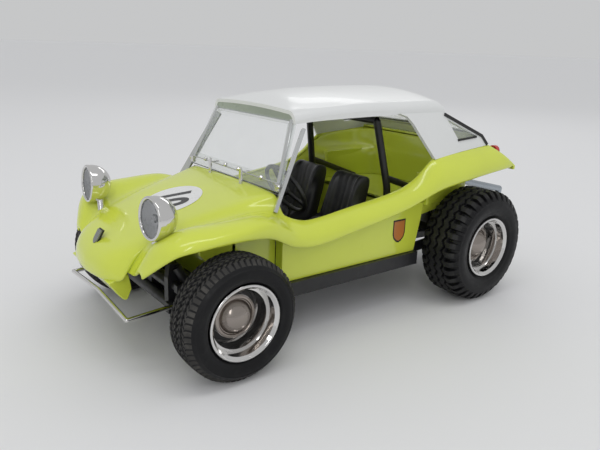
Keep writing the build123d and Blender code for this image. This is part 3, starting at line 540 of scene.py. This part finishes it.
def rail_rows():
    """Rows of the rail and rear fender; the last ones fan out onto the tail's slope."""
    ys = [19.5] + spaced(22.5, 85.0, 26)
    rows = [rail_row(y) for y in ys]
    ends = [tail_end(c) for c in range(CREST_STEPS + 2)]
    for share in (0.25, 0.5, 0.75, 1.0):
        rows.append([rail_row(ys[-1] + (end[1] - ys[-1]) * share)[c] for c, end in enumerate(ends)])
    return rows


def body_shell():
    """Hood, nose, fenders and rails as one smooth shell."""
    rows = front_rows()
    points, faces = [], []
    for side in (1, -1):
        index = {}

        def put(key, p):
            index[key] = len(points)
            points.append((side * p[0], p[1], p[2]))

        def quad(a, b, c, d):
            corners = [index[k] for k in (a, b, c, d)]
            faces.append(corners if side > 0 else corners[::-1])

        for r, line in enumerate(rows):
            for c, p in enumerate(line):
                put((r, c), p)
        for r in range(len(rows) - 1):
            for c in range(len(rows[0]) - 1):
                quad((r, c), (r, c + 1), (r + 1, c + 1), (r + 1, c))
        first = HOOD_STEPS + VALLEY_STEPS
        for c in range(CREST_STEPS + 2):
            index["rail", 0, c] = index[0, first + c]
        for r, line in enumerate(rail_rows(), 1):
            for c, p in enumerate(line):
                put(("rail", r, c), p)
            for c in range(CREST_STEPS + 1):
                quad(("rail", r - 1, c + 1), ("rail", r - 1, c), ("rail", r, c), ("rail", r, c + 1))
    shell = add_mesh("body_shell", points, faces, lime)
    fix_normals(shell)
    thicken(shell, SKIN, 1.0 if shell.data.polygons[0].normal.z < 0 else -1.0)
    subdivide(shell, 2)
    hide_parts("body_front", "body_side_left", "body_side_right", "body_rear")


def strip_wall(name, pairs, mat, thickness):
    """A thin wall between two lines of points."""
    points = [p for pair in pairs for p in pair]
    faces = [(2 * i, 2 * i + 1, 2 * i + 3, 2 * i + 2) for i in range(len(pairs) - 1)]
    wall = add_mesh(name, points, faces, mat)
    fix_normals(wall)
    return thicken(wall, thickness, 0.0)


def side_walls(tag, side):
    """Walls under the shell on one side: panel, cockpit, both wheel arches and the rear ledge."""
    inner = PANEL_X - SKIN
    panel = [(COWL_Y, SILL_Z), (ARCH_Y - 2.4, SILL_Z), (ARCH_Y, 26.5), (ARCH_Y, 29), (COWL_Y, 29)]
    prism(f"side_panel_{tag}", panel, side * inner, side * PANEL_X, lime, 0.2)
    box_piece(f"panel_return_{tag}", (side * 19.9, 17.1, 15.3), (side * 22.0, 18, 31), lime)
    arch = [(-3, 25), (6, SILL_Z), (COWL_Y, SILL_Z), (COWL_Y, 34.1), (8.5, 32.9), (-3, 31.0)]
    prism(f"front_arch_{tag}", arch, side * 19, side * 20, lime)
    lines = []
    for y in spaced(COWL_Y + 0.4, ARCH_Y, 21):
        row = resampled(RAIL_STATIONS[:6], [y])[0]
        lines.append(((side * (row[1] - 0.6), y, row[2]), (side * (row[3] + 0.4), y, row[4] - 0.6)))
    strip_wall(f"cockpit_wall_{tag}", lines, lime, 0.6)
    lines = []
    for y in spaced(ARCH_Y + 0.3, LEDGE_END_Y, 13):
        row = resampled(RAIL_STATIONS, [y])[0]
        top = min(row[4], tail_z(y)) - 0.5
        lines.append(((side * 23.6, y, 36.0), (side * (row[3] + 0.1), y, max(top, 36.4))))
    strip_wall(f"fender_wall_{tag}", lines, lime, 0.7)
    box_piece(f"arch_front_{tag}", (side * 19.5, ARCH_Y + 0.1, 28.2), (side * 23.8, ARCH_Y + 1, 36.4), lime)
    box_piece(f"ledge_{tag}", (side * 19.6, ARCH_Y + 0.2, 35.6), (side * 24.0, LEDGE_END_Y, 36.5), lime)
    arch = [(ARCH_Y, 24), (REAR_WALL_Y, 27), (REAR_WALL_Y, 36.6), (ARCH_Y, 36.6)]
    prism(f"rear_arch_{tag}", arch, side * 19.3, side * 20.3, lime)


# Plan of the tub behind the seats, driver's half: x, y, share of the step over the wheel arch.
TUB_PLAN = [
    (22.4, 61.8, 0.40), (21.6, 63.6, 0.55), (20.2, 65.6, 0.85), (19.3, 68.2, 1.0), (19.1, 72.0, 1.0),
    (19.1, 77.0, 1.0), (18.6, 80.4, 0.9), (17.0, 83.2, 0.5), (14.2, 84.5, 0.15), (9.0, 84.6, 0.04),
    (0.0, 84.6, 0.04),
]
# Section of the tub's wall: distance out, height, and how far it rises with the rail.
TUB_SECTION = [
    (-0.3, 28.05, 0), (0.0, 28.6, 0), (0.0, 32.0, 0), (0.1, 34.6, 0), (0.8, 36.3, 0), (2.4, 37.2, 0),
    (3.7, 37.9, 0), (4.4, 39.2, 0.2), (4.9, 40.0, 1),
]
TUB_BELOW_RAIL = 0.5
TUB_HIGHEST_RAIL = 43.7


def rear_tub():
    """Smooth tub behind the seats, with rounded corners and a rounded step over each arch."""
    path = TUB_PLAN + [(-x, y, share) for x, y, share in reversed(TUB_PLAN[:-1])]
    points, faces = [], []
    for i, (x, y, share) in enumerate(path):
        ahead, behind = path[min(i + 1, len(path) - 1)], path[max(i - 1, 0)]
        out = Vector((ahead[1] - behind[1], behind[0] - ahead[0])).normalized()
        top = min(resampled(RAIL_STATIONS, [y])[0][4], TUB_HIGHEST_RAIL) - TUB_BELOW_RAIL
        lift = top - TUB_SECTION[-1][1]
        for away, z, rises in TUB_SECTION:
            points.append((x + out.x * away * share, y + out.y * away * share, z + lift * rises))
    n = len(TUB_SECTION)
    for i in range(len(path) - 1):
        faces += [(i * n + k, i * n + k + 1, (i + 1) * n + k + 1, (i + 1) * n + k) for k in range(n - 1)]
    tub = add_mesh("rear_tub", points, faces, lime)
    fix_normals(tub)
    subdivide(thicken(tub, 0.3, 0.0), 2)


def tail_panel():
    """Deck and the sloping tail between the two fenders' cut ends."""
    box_piece("deck", (-24.4, 85, 42.9), (24.4, TAIL_TOP[0] + 0.1, TAIL_TOP[1]), lime, 0.1)
    ends = [tail_end(c) for c in range(CREST_STEPS + 2)]
    lines = [(x - 0.15, y, z) for x, y, z in ends]
    lines[-1] = (lines[-2][0], TAIL_LOW[0], TAIL_LOW[1])
    lines.append((lines[-1][0], TAIL_LOW[0], TAIL_LOW[1] - 1.2))
    panel = strip_wall("tail_panel", [((-x, y, z), (x, y, z)) for x, y, z in lines], lime, 0.8)
    panel.modifiers["wall"].offset = 1.0 if panel.data.polygons[0].normal.z < 0 else -1.0
    bevel(panel, 0.25, 3, 20)


def inner_body():
    """Everything of the moulded body under its shell, from the toe board to the tail."""
    inner = PANEL_X - SKIN
    for tag, side in SIDES:
        side_walls(tag, side)
    box_piece("toe_board", (-20, 5, FLOOR_Z), (20, 6, 32.2), lime)
    chin = [(-20.6, 19.6), (-18.9, 17.0), (-17.6, 15.4), (-17.0, 15.0), (-16.4, 15.1), (-15.4, 17.4),
            (-16.0, 21.0)]
    prism("chin", chin, -12, 12, lime, 0.4)
    box_piece("luggage_shelf", (-20.5, ARCH_Y, 27), (20.5, REAR_WALL_Y, 28), lime)
    box_piece("front_shelf", (-inner, 61, 27), (inner, ARCH_Y + 0.5, 28), lime)
    box_piece("bulkhead", (-inner, 61, FLOOR_Z), (inner, 62, 28), lime)
    box_piece("rear_wall", (-20, 85, 27), (20, REAR_WALL_Y, 36.2), lime)
    box_piece("rear_wall_top", (-24, 85, 36), (24, REAR_WALL_Y, 43.5), lime)
    rear_tub()
    tail_panel()


# CAD nodes that stay in view


def paint_nodes():
    """Finish of every CAD node, by its slot in the record or by its name."""
    finish = {
        "black_plastic": black, "body_yellow": lime, "hardtop_white": white, "clear_plastic": clear,
        "tyre": rubber, "chrome": chrome, "lens": lens, "tail_lamp": black, "engine_metal": engine,
    }
    named = {"windscreen_frame": clear_band, "windscreen_posts": silver, "rear_guard": steel}
    for row in frame["record"]["subparts"]:
        node = frame["nodes"][row["node"]]
        node.data.materials.clear()
        node.data.materials.append(named.get(row["node"], finish[row["material_slot"]]))
        if row["node"] not in ("hardtop", "rear_window"):
            split = node.modifiers.new("edges", "EDGE_SPLIT")
            split.split_angle = math.radians(EDGE_ANGLE)


# Wheels

SHOULDER_DROP = 1.2
SIDEWALL_STEPS = 16
FRONT_GROOVES = (-2.5, -4.5, -6.5)  # x of each groove from the outer face
REAR_GROOVES = (-3.6, -6.0, -8.4)
FRONT_SIPES = 60  # fine cuts round a front tyre
REAR_NOTCHES = 36  # gaps between the blocks round each shoulder of a rear tyre


def tyre_profile(radius, width, tread_points):
    """Closed outline of the tyre as (x, radius), from the outer bead round to the inner bead."""
    top = radius - SHOULDER_DROP
    outer = arc((-0.9, RIM_RADIUS), (0.5, (RIM_RADIUS + top) / 2), (-0.3, top), SIDEWALL_STEPS)
    outer = [(x + 0.14, r) if k in (3, 4, 13) else (x, r) for k, (x, r) in enumerate(outer)]
    shoulder = [(-0.85, radius - 0.65), (-1.4, radius - 0.15)]
    across = [-1.4 + (2.8 - width) * i / tread_points for i in range(1, tread_points + 1)]
    crown = [(x, radius - 0.15 * ((x + width / 2) / (width / 2 - 1.4)) ** 2) for x in across]
    inner = [(-width - x, r) for x, r in reversed(outer + shoulder)][1:]
    return outer + shoulder + crown + inner


def front_cut(x, angle):
    """Depth of the worn road tread: three straight grooves and sipes that slant to and fro."""
    if any(abs(x - g) < 0.2 for g in FRONT_GROOVES):
        return 0.35
    turn = angle * FRONT_SIPES / (2 * math.pi)
    if -7.9 < x < -1.1:
        lean = 0.77 if round((x - FRONT_GROOVES[1]) / 2.0) % 2 else -0.77
        return 0.25 if (turn + x * lean) % 1.0 < 0.34 else 0.0
    return 0.25 if turn % 1.0 < 0.30 else 0.0


def rear_cut(x, angle):
    """Depth of the chunky tread: wavy grooves in the middle, staggered notches on the shoulders."""
    wave = 0.35 * math.sin(angle * REAR_NOTCHES)
    if any(abs(x + wave - g) < 0.34 for g in REAR_GROOVES):
        return 0.7
    turn = angle * REAR_NOTCHES / (2 * math.pi)
    phase = turn % 1.0 if x > -REAR_WIDTH / 2 else (turn + 0.5) % 1.0
    notched = abs(phase - 0.5) < 0.21 and (x > -2.7 or x < -9.3)
    return 1.0 if notched else 0.0


def wheel_place(end, side):
    """Which way a wheel faces, its axle's Y and its radius."""
    sign = 1 if side == "left" else -1
    return (sign, 0, FRONT_RADIUS) if end == "front" else (sign, WHEELBASE, REAR_RADIUS)


def tyre(end, side, width, cut, depth_reach, count, tread_points, tread_mat):
    """Tyre with its tread cut in; the tread tops are paler than the black grooves: painted shade in the
    grooves, and wear on the tops.
    """
    sign, y, radius = wheel_place(end, side)
    profile = tyre_profile(radius, width, tread_points)
    n = len(profile)
    points, faces = [], []
    for i in range(count):
        a = 2 * math.pi * i / count
        for x, r in profile:
            deep = cut(x, a)
            fade = min(max((r - radius + depth_reach) / (depth_reach - 0.6), 0.0), 1.0)
            points.append((x, (r - deep * fade) * math.sin(a), (r - deep * fade) * math.cos(a)))
    for i in range(count):
        j = (i + 1) % count
        for k in range(n - 1):
            faces.append((i * n + k, j * n + k, j * n + k + 1, i * n + k + 1))
    placed = [(sign * (RIM_FACE_X + p[0]), p[1] + y, p[2] + radius) for p in points]
    if sign < 0:
        faces = [f[::-1] for f in faces]
    obj = add_mesh(f"tyre_{end}_{side}_tread", placed, faces, rubber, f"wheel_{end}_{side}")
    obj.data.materials.append(tread_mat)
    # Cut faces and sidewalls keep the black rubber and the tread tops get the paler tread colour: painted
    # shade in the grooves, wear on the tops.
    first, last = SIDEWALL_STEPS, n - SIDEWALL_STEPS - 2
    index = []
    for i in range(count):
        a = 2 * math.pi * (i + 0.5) / count
        index += [int(first <= k < last and not cut(profile[k][0], a)) for k in range(n - 1)]
    obj.data.polygons.foreach_set("material_index", index)
    obj.data.set_sharp_from_angle(angle=math.radians(40))
    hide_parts(f"tyre_{end}_{side}")


def wheel_detail(end, side):
    """Black ring deep in the gap round the hub as painted shade, a bright bead on the rim's lip and the
    domed hub cap.
    """
    sign, y, radius = wheel_place(end, side)
    centre = (sign * RIM_FACE_X, y, radius)
    body = f"wheel_{end}_{side}"
    axis = (sign, 0, 0)
    # Thin black ring at the bottom of the gap round the hub: painted shade where the dish is deep.
    gap = [(-6.35, 4.92), (-6.30, 4.92), (-6.30, 6.02), (-6.35, 6.02)]
    turned(f"rim_gap_shade_{end}_{side}", gap, 64, centre, axis, gasket, body)
    bead = arc((-0.05, 7.95), (0.12, 8.25), (-0.05, 8.52), 6)
    turned(f"rim_bead_{end}_{side}", bead, 72, centre, axis, chrome, body)
    dome = [(-4.6, 4.86), (-4.35, 4.86), (-4.2, 4.6), (-4.2, 4.2), (-4.45, 4.0), (-4.45, 3.85), (-4.0, 3.75)]
    dome += arc((-3.9, 3.7), (-2.55, 2.5), (-1.85, 0), 12)
    cap = turned(f"hub_dome_{end}_{side}", dome, 64, centre, axis, hub_metal, body)
    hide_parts(f"hub_cap_{end}_{side}")


def wheels():
    for end, side in WHEELS:
        if end == "front":
            tyre(end, side, FRONT_WIDTH, front_cut, depth_reach=1.2, count=600, tread_points=40,
                 tread_mat=tread)
        else:
            tyre(end, side, REAR_WIDTH, rear_cut, depth_reach=2.6, count=540, tread_points=50,
                 tread_mat=chunky)
        wheel_detail(end, side)


# Windscreen, roof trim and lamps

SCREEN_LOW = (20.9, 17.6, 38.7)  # outer lower corner of the windscreen frame
SCREEN_TOP = (17.4, 23.5, 53.0)  # its outer upper corner
SCREEN_RISE = Vector((0, SCREEN_TOP[1] - SCREEN_LOW[1], SCREEN_TOP[2] - SCREEN_LOW[2]))
SCREEN_HEIGHT = SCREEN_RISE.length
SCREEN_UP = SCREEN_RISE.normalized()
SCREEN_OUT = Vector((0, -SCREEN_RISE.z, SCREEN_RISE.y)).normalized()


def on_screen(x, up, out=0.0):
    """Point of the windscreen's plane, from the middle of its low edge."""
    return Vector((0, SCREEN_LOW[1], SCREEN_LOW[2])) + Vector((x, 0, 0)) + SCREEN_UP * up + SCREEN_OUT * out


def screen_fittings(tag, side):
    """Side strip, clear web towards the post, strap, bracket and knobs on one side."""
    strip = [on_screen(side * 20.5, -0.8, 0.5), on_screen(side * 17.0, SCREEN_HEIGHT - 0.3, 0.5)]
    ribbon(f"screen_side_{tag}", strip, SCREEN_OUT, 1.0, 0.12, silver)
    web = [on_screen(side * 20.9, -0.6, 0.1), on_screen(side * 18.2, SCREEN_HEIGHT - 1.2, 0.1)]
    ribbon(f"screen_web_{tag}", web, SCREEN_OUT, 1.6, 0.15, clear_band)
    x = side * 7.5
    strap = [(-0.55, 0), (0.55, 0), (0.55, 3.6), (0.3, 4.3), (-0.3, 4.3), (-0.55, 3.6)]
    plate(f"screen_strap_{tag}", (x, 15.3, 36.3), (1, 0, 0), (0, 0, 1), strap, 0.5, chrome, 0.12)
    box_piece(f"strap_link_{tag}", (x - 0.25, 15.0, 39.4), (x + 0.25, 17.6, 39.7), chrome, 0.08)
    x = side * 20.6
    box_piece(f"screen_bracket_{tag}", (x - 0.8, 16.4, 37.2), (x + 0.8, 17.4, 39.0), chrome, 0.25)
    knob = [(0, 0), (0, 0.55), (0.4, 0.55), (0.7, 0.3), (0.75, 0)]
    for spot, x, up in (("inner", 3.2, 0.4), ("outer", 13.5, 0.2), ("corner", 21.2, -0.6)):
        turned(f"screen_{spot}_knob_{tag}", knob, 16, on_screen(side * x, up, 0.5), SCREEN_OUT, chrome)


def windscreen_trim():
    """Bright edges of the clear screen and the small fittings along its foot."""
    low, top = (SCREEN_LOW[0], -1.8), (SCREEN_TOP[0], SCREEN_HEIGHT)
    corners = [(-low[0], low[1]), (-top[0], top[1]), top, low]
    wire("screen_edge", [on_screen(x, up, 0.3) for x, up in corners], 0.24, silver)
    wire("screen_bead", [on_screen(-20.2, 0.0, 0.5), on_screen(20.2, 0.0, 0.5)], 0.16, silver)
    # Black line along the foot of the screen: painted shadow.
    wire("screen_foot_shadow", [on_screen(-20.8, -1.9, 0.3), on_screen(20.8, -1.9, 0.3)], 0.14, gasket)
    for tag, side in SIDES:
        screen_fittings(tag, side)


def header_band():
    """Frosted band under the front edge of the roof, above the screen."""
    half = [(17.9, 52.5), (17.9, 53.0), (15.6, 54.3), (8.0, 54.9), (0, 55.0)]
    outline = half + [(-x, z) for x, z in reversed(half[:-1])]
    plate("header_band", (0, 22.98, 0), (1, 0, 0), (0, 0, 1), outline, 0.12, frosted)


QUARTER_FOOT = Vector((25.6, 0, 41.8))
QUARTER_UP = Vector((-3.4, 0, 12.2)).normalized()


def on_quarter(side, y, up, out=0.0):
    """Point on the leaning side of the hardtop: y from the wheel arch, distance up the side."""
    normal = Vector((QUARTER_UP.z, 0, -QUARTER_UP.x))
    p = QUARTER_FOOT + QUARTER_UP * up + normal * out
    return Vector((side * p.x, ARCH_Y + y, p.z))


def roof_trim():
    """Black rubber along the rear corners, the quarter panes and the rear window."""
    for tag, side in SIDES:
        outward = (side * QUARTER_UP.z, 0, -QUARTER_UP.x)
        corner = [on_quarter(side, y, up, 0.02) for y, up in ((5.4, 11.4), (20.6, 4.6), (22.6, 1.9))]
        ribbon(f"corner_gasket_{tag}", corner, outward, 0.9, 0.3, gasket)
        pane = [on_quarter(side, y, up, 0.02) for y, up in ((9.9, 4.0), (18.2, 4.5))]
        ribbon(f"pane_gasket_{tag}", pane, outward, 0.6, 0.25, gasket)
    slope = Vector((0, -0.48, 0.877))
    edge = [(-22.6, 84.6, 46.9), (0, 84.6, 47.35), (22.6, 84.6, 46.9)]
    ribbon("rear_window_gasket", edge, slope, 0.9, 0.3, gasket)


def headlamps():
    """Fluted lens over a faceted reflector in each pod."""
    for tag, side in SIDES:
        centre = (side * 18.7, -13.6, 34.6)
        axis = (side * 0.06, -1, 0.06)
        bowl = [(-0.25, 3.95), (-0.7, 3.1), (-1.05, 1.7), (-1.12, 0.9), (-0.7, 0.7), (-0.6, 0)]
        turned(f"reflector_{tag}", bowl, 24, centre, axis, mirror, smooth=False)
        turned(f"lamp_ring_{tag}", arc((-0.1, 4.0), (0.32, 4.3), (-0.1, 4.72), 8), 48, centre, axis, chrome)
        dome = [(-0.15, 4.02), (0.1, 3.9), (0.3, 3.0), (0.42, 2.0), (0.48, 1.0), (0.5, 0)]
        obj = turned(f"lamp_glass_{tag}", dome, 48, centre, axis, lens)
        if side > 0:
            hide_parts("headlamp_lenses")


def tail_lenses():
    """Red lens with a silver inner disc on each tail lamp's black housing."""
    for tag, side in SIDES:
        centre = (side * 20.6, WHEELBASE + 16.5, 40.5)
        cup = [(-0.8, 1.25), (-0.8, 1.66), (0.5, 1.66), (0.78, 1.4), (0.74, 1.0)]
        turned(f"tail_lens_{tag}", cup, 36, centre, (0, 1, 0), red)
        turned(f"tail_disc_{tag}", [(0.72, 1.05), (0.76, 0.6), (0.76, 0)], 24, centre, (0, 1, 0), silver)


# Cockpit


def seat(tag, side):
    """Bucket seat: a pleated cushion and back between raised bolsters, on a pedestal."""
    face = [(33.4, 17.6), (33.2, 18.8), (34.2, 20.1), (37.0, 20.3), (40.5, 19.9), (43.4, 20.1),
            (44.9, 21.7), (45.8, 25.0), (46.9, 29.0), (48.1, 33.0), (48.8, 35.2), (50.3, 36.2)]
    rear = [(51.9, 35.6), (52.3, 34.0), (51.0, 29.0), (49.4, 23.0), (47.8, 17.6), (46.6, 16.0),
            (41.0, 16.4), (35.0, 16.9)]
    weights = [0.1, 0.4, 0.9, 1, 1, 1, 1, 1, 1, 0.9, 0.5, 0.1]
    low_x, width, columns = 3.7, 11.0, 30
    points, faces = [], []
    loop = len(face) + len(rear)
    for c in range(columns + 1):
        u = 2 * c / columns - 1
        x = side * (low_x + width * (u + 1) / 2)
        rise = 1.6 / (1 + math.exp(-(abs(u) - 0.66) * 34))
        pleat = 0.34 * (abs(math.sin(u * 8.5)) ** 0.5 - 1) if abs(u) < 0.6 else 0.0
        shift = -0.3 if abs(u) > 0.97 else 0.0
        for k, (y, z) in enumerate(face):
            ahead, behind = face[min(k + 1, len(face) - 1)], face[max(k - 1, 0)]
            run = math.hypot(ahead[0] - behind[0], ahead[1] - behind[1])
            ny, nz = -(ahead[1] - behind[1]) / run, (ahead[0] - behind[0]) / run
            h = (rise + pleat) * weights[k] + shift
            points.append((x, y + ny * h, z + nz * h))
        points += [(x, y, z) for y, z in rear]
    for c in range(columns):
        for k in range(loop):
            a, b = c * loop + k, c * loop + (k + 1) % loop
            faces.append((a, b, b + loop, a + loop))
    faces += [tuple(range(loop)), tuple(range(columns * loop, (columns + 1) * loop))]
    obj = add_mesh(f"bucket_seat_{tag}", points, faces, black)
    fix_normals(obj)
    subdivide(obj, 1)
    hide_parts(f"seat_{tag}")
    base = [(35.0, FLOOR_Z), (46.0, FLOOR_Z), (46.0, 16.6), (35.0, 17.2)]
    prism(f"seat_base_{tag}", base, side * 5.7, side * 12.7, black, 0.2)


# tag, x, z, radius
DIALS = [
    ("speed", 9.6, 33.0, 2.1), ("fuel", 4.2, 33.2, 1.2), ("oil", 0.6, 33.2, 1.2), ("amp", -3.0, 33.2, 1.2),
]


def gauges():
    """Round dials with bright rings on the back of the dashboard."""
    face_y = 18.42
    for tag, x, z, r in DIALS:
        centre = (x, face_y, z)
        turned(f"{tag}_ring", arc((0, r - 0.28), (0.3, r - 0.1), (0, r), 6), 32, centre, (0, 1, 0), chrome)
        turned(f"{tag}_dial", [(0.1, r - 0.25), (0.12, 0)], 32, centre, (0, 1, 0), ink)
        for i in range(8):
            a = math.radians(-120 + i * 34)
            spot = Vector((x, face_y + 0.13, z)) + Vector((math.sin(a), 0, math.cos(a))) * r * 0.62
            along = Vector((math.sin(a), 0, math.cos(a)))
            mark = [(-0.05, -0.12 * r), (0.05, -0.12 * r), (0.05, 0.12 * r), (-0.05, 0.12 * r)]
            plate(f"{tag}_mark_{i}", spot, along.cross((0, 1, 0)), along, mark, 0.03, paper_white)


# Plain markings


ROUNDEL_Y = 0.0
ROUNDEL_RADIUS = 7.8
NUMBER_TURN = math.radians(-36)
HOOD_LEAN = 0.963  # share of a length along the hood that shows from above
# Half of the shield's outline, from its upper corner down
SHIELD_SIDE = [(2.3, 3.0), (2.3, -1.0), (1.9, -2.2), (1.0, -3.1)]
SHIELD_TIP = (0, -3.5)


def hood_height(x, y):
    """Height of the domed hood over a point."""
    crown_z, hood_x, hood_z = resampled(FRONT_STATIONS, [y])[0][1:4]
    sag = crown_z - hood_z
    radius = (hood_x**2 + sag**2) / (2 * sag)
    return crown_z - radius + math.sqrt(radius**2 - x**2)


def roundel_disc():
    """White disc laid on the hood."""
    points, faces = [(0, ROUNDEL_Y, hood_height(0, ROUNDEL_Y) + 0.06)], []
    rings, count = 6, 64
    for ring in range(1, rings + 1):
        for i in range(count):
            a, r = 2 * math.pi * i / count, ROUNDEL_RADIUS * ring / rings
            x, y = r * math.sin(a), ROUNDEL_Y + r * math.cos(a) * HOOD_LEAN
            points.append((x, y, hood_height(x, y) + 0.06))
    for i in range(count):
        j = (i + 1) % count
        faces.append((0, 1 + i, 1 + j))
        for ring in range(rings - 1):
            a = 1 + ring * count
            faces.append((a + i, a + count + i, a + count + j, a + j))
    fix_normals(add_mesh("roundel", points, faces, paper_white))


def roundel_number():
    """Plain number on the disc, turned as in the photograph."""
    text = bpy.data.curves.new("digits", "FONT")
    text.body = "10"
    text.size = 11.4
    text.offset = 0.4
    text.align_x = "CENTER"
    text.align_y = "CENTER"
    flat = bpy.data.objects.new("digits", text)
    bpy.context.scene.collection.objects.link(flat)
    bpy.context.view_layer.update()
    mesh = bpy.data.meshes.new_from_object(flat)
    bpy.data.objects.remove(flat)
    bm = bmesh.new()
    bm.from_mesh(mesh)
    bmesh.ops.triangulate(bm, faces=bm.faces)
    bm.to_mesh(mesh)
    bm.free()
    turn = Matrix.Rotation(NUMBER_TURN, 2)
    spots = [turn @ Vector((v.co.x * 0.85, v.co.y)) for v in mesh.vertices]
    points = [(p.x, ROUNDEL_Y + p.y * HOOD_LEAN) for p in spots]
    lifted = [(x, y, hood_height(x, y) + 0.11) for x, y in points]
    add_mesh("roundel_number", lifted, [tuple(p.vertices) for p in mesh.polygons], ink)


def badges():
    """Plain shield on each side panel and a small grey one on the nose."""
    shield = SHIELD_SIDE + [SHIELD_TIP] + [(-a, b) for a, b in reversed(SHIELD_SIDE)]
    for tag, side in SIDES:
        along = (0, side, 0)
        for layer, size, lift, mat in (("border", 1.0, 0.02, ink), ("field", 0.86, 0.06, orange)):
            outline = [(a * size, b * size) for a, b in shield]
            spot = (side * (PANEL_X + lift), 56.0, 22.2)
            plate(f"side_badge_{layer}_{tag}", spot, along, (0, 0, 1), outline, 0.05, mat)
    down = Vector((0, -0.50, -0.87))
    out = down.cross((1, 0, 0))
    small = [(a * 0.55, b * -0.62) for a, b in shield]
    for layer, size, lift, mat in (("border", 1.0, 0.0, ink), ("field", 0.84, 0.35, grey)):
        outline = [(a * size, b * size) for a, b in small]
        spot = Vector((0, -17.8, 26.5)) + out * lift
        plate(f"nose_badge_{layer}", spot, (-1, 0, 0), down, outline, 0.3, mat)


# Camera, from the photograph's perspective


def camera():
    """The photograph's view; lengths in millimetres, the focal length in pixels of its width."""
    azimuth, elevation, roll = (math.radians(v) for v in (52.202, 16.496, 1.908))
    distance = 173.165
    focal_px = 606.08
    aim_right, aim_up = -0.2776, 0.2886
    back = Vector((
        math.sin(azimuth) * math.cos(elevation),
        -math.cos(azimuth) * math.cos(elevation),
        math.sin(elevation),
    ))
    right = Vector((math.cos(azimuth), math.sin(azimuth), 0))
    up = back.cross(right)
    across = math.cos(roll) * right + math.sin(roll) * up
    upward = -math.sin(roll) * right + math.cos(roll) * up
    target = Vector((0.0, 40.0, 20.0)) + aim_right * right + aim_up * up
    place = Vector(to_row(target + back * distance))
    data = bpy.data.cameras.new("camera")
    data.sensor_width = 36.0
    data.lens = focal_px * data.sensor_width / IMAGE_WIDTH
    data.clip_start = 0.005
    data.clip_end = 30
    obj = bpy.data.objects.new("camera", data)
    bpy.context.scene.collection.objects.link(obj)
    turn = Matrix((across, upward, back)).transposed()
    obj.matrix_world = Matrix.Translation(place) @ turn.to_4x4()
    bpy.context.scene.camera = obj


def area_light(name, place, aim, size, power):
    data = bpy.data.lights.new(name, "AREA")
    data.shape = "RECTANGLE"
    data.size, data.size_y = size
    data.energy = power
    obj = bpy.data.objects.new(name, data)
    bpy.context.scene.collection.objects.link(obj)
    obj.location = place
    obj.rotation_euler = (Vector(aim) - Vector(place)).to_track_quat("-Z", "Y").to_euler()


def studio_world():
    """Soft even light; camera, mirror and glass rays see the far floor's own tone."""
    world = bpy.data.worlds.new("world")
    world.use_nodes = True
    nodes, links = world.node_tree.nodes, world.node_tree.links
    light = nodes["Background"]
    light.inputs["Color"].default_value = (0.97, 0.98, 1.0, 1)
    light.inputs["Strength"].default_value = 0.72
    seen = nodes.new("ShaderNodeBackground")
    seen.inputs["Color"].default_value = (0.565, 0.57, 0.575, 1)
    path = nodes.new("ShaderNodeLightPath")
    either = path.outputs["Is Camera Ray"]
    for ray in ("Is Glossy Ray", "Is Transmission Ray"):
        add = nodes.new("ShaderNodeMath")
        add.operation = "MAXIMUM"
        links.new(either, add.inputs[0])
        links.new(path.outputs[ray], add.inputs[1])
        either = add.outputs[0]
    mix = nodes.new("ShaderNodeMixShader")
    links.new(either, mix.inputs[0])
    links.new(light.outputs[0], mix.inputs[1])
    links.new(seen.outputs[0], mix.inputs[2])
    links.new(mix.outputs[0], nodes["World Output"].inputs["Surface"])
    bpy.context.scene.world = world


# name, place, aim, size, power
LAMPS = [
    ("overhead", (0.10, -0.06, 0.50), (0, 0, 0), (0.50, 0.07), 0.35),
    ("front_strip", (0.34, -0.30, 0.34), (0, 0, 0.02), (0.05, 0.30), 0.25),
    ("back", (-0.35, 0.40, 0.35), (0, 0, 0.02), (0.30, 0.06), 0.2),
]


def studio():
    """Pale floor and soft lamps."""
    half = 12.0
    corners = [(-half, -half, 0), (half, -half, 0), (half, half, 0), (-half, half, 0)]
    mesh = bpy.data.meshes.new("floor")
    mesh.from_pydata(corners, [], [(0, 1, 2, 3)])
    floor = bpy.data.objects.new("floor", mesh)
    bpy.context.scene.collection.objects.link(floor)
    mat, _, _, shader = node_tree("floor_paper")
    shader.inputs["Base Color"].default_value = (0.80, 0.80, 0.80, 1)
    shader.inputs["Roughness"].default_value = 0.8
    shader.inputs["Specular IOR Level"].default_value = 0.1
    mesh.materials.append(mat)
    studio_world()
    for lamp in LAMPS:
        area_light(*lamp)


paint_nodes()
body_shell()
inner_body()
wheels()
windscreen_trim()
header_band()
roof_trim()
headlamps()
tail_lenses()
for tag, side in SIDES:
    seat(tag, side)
gauges()
roundel_disc()
roundel_number()
badges()
camera()
studio()
bpy.context.scene.view_settings.view_transform = "Standard"
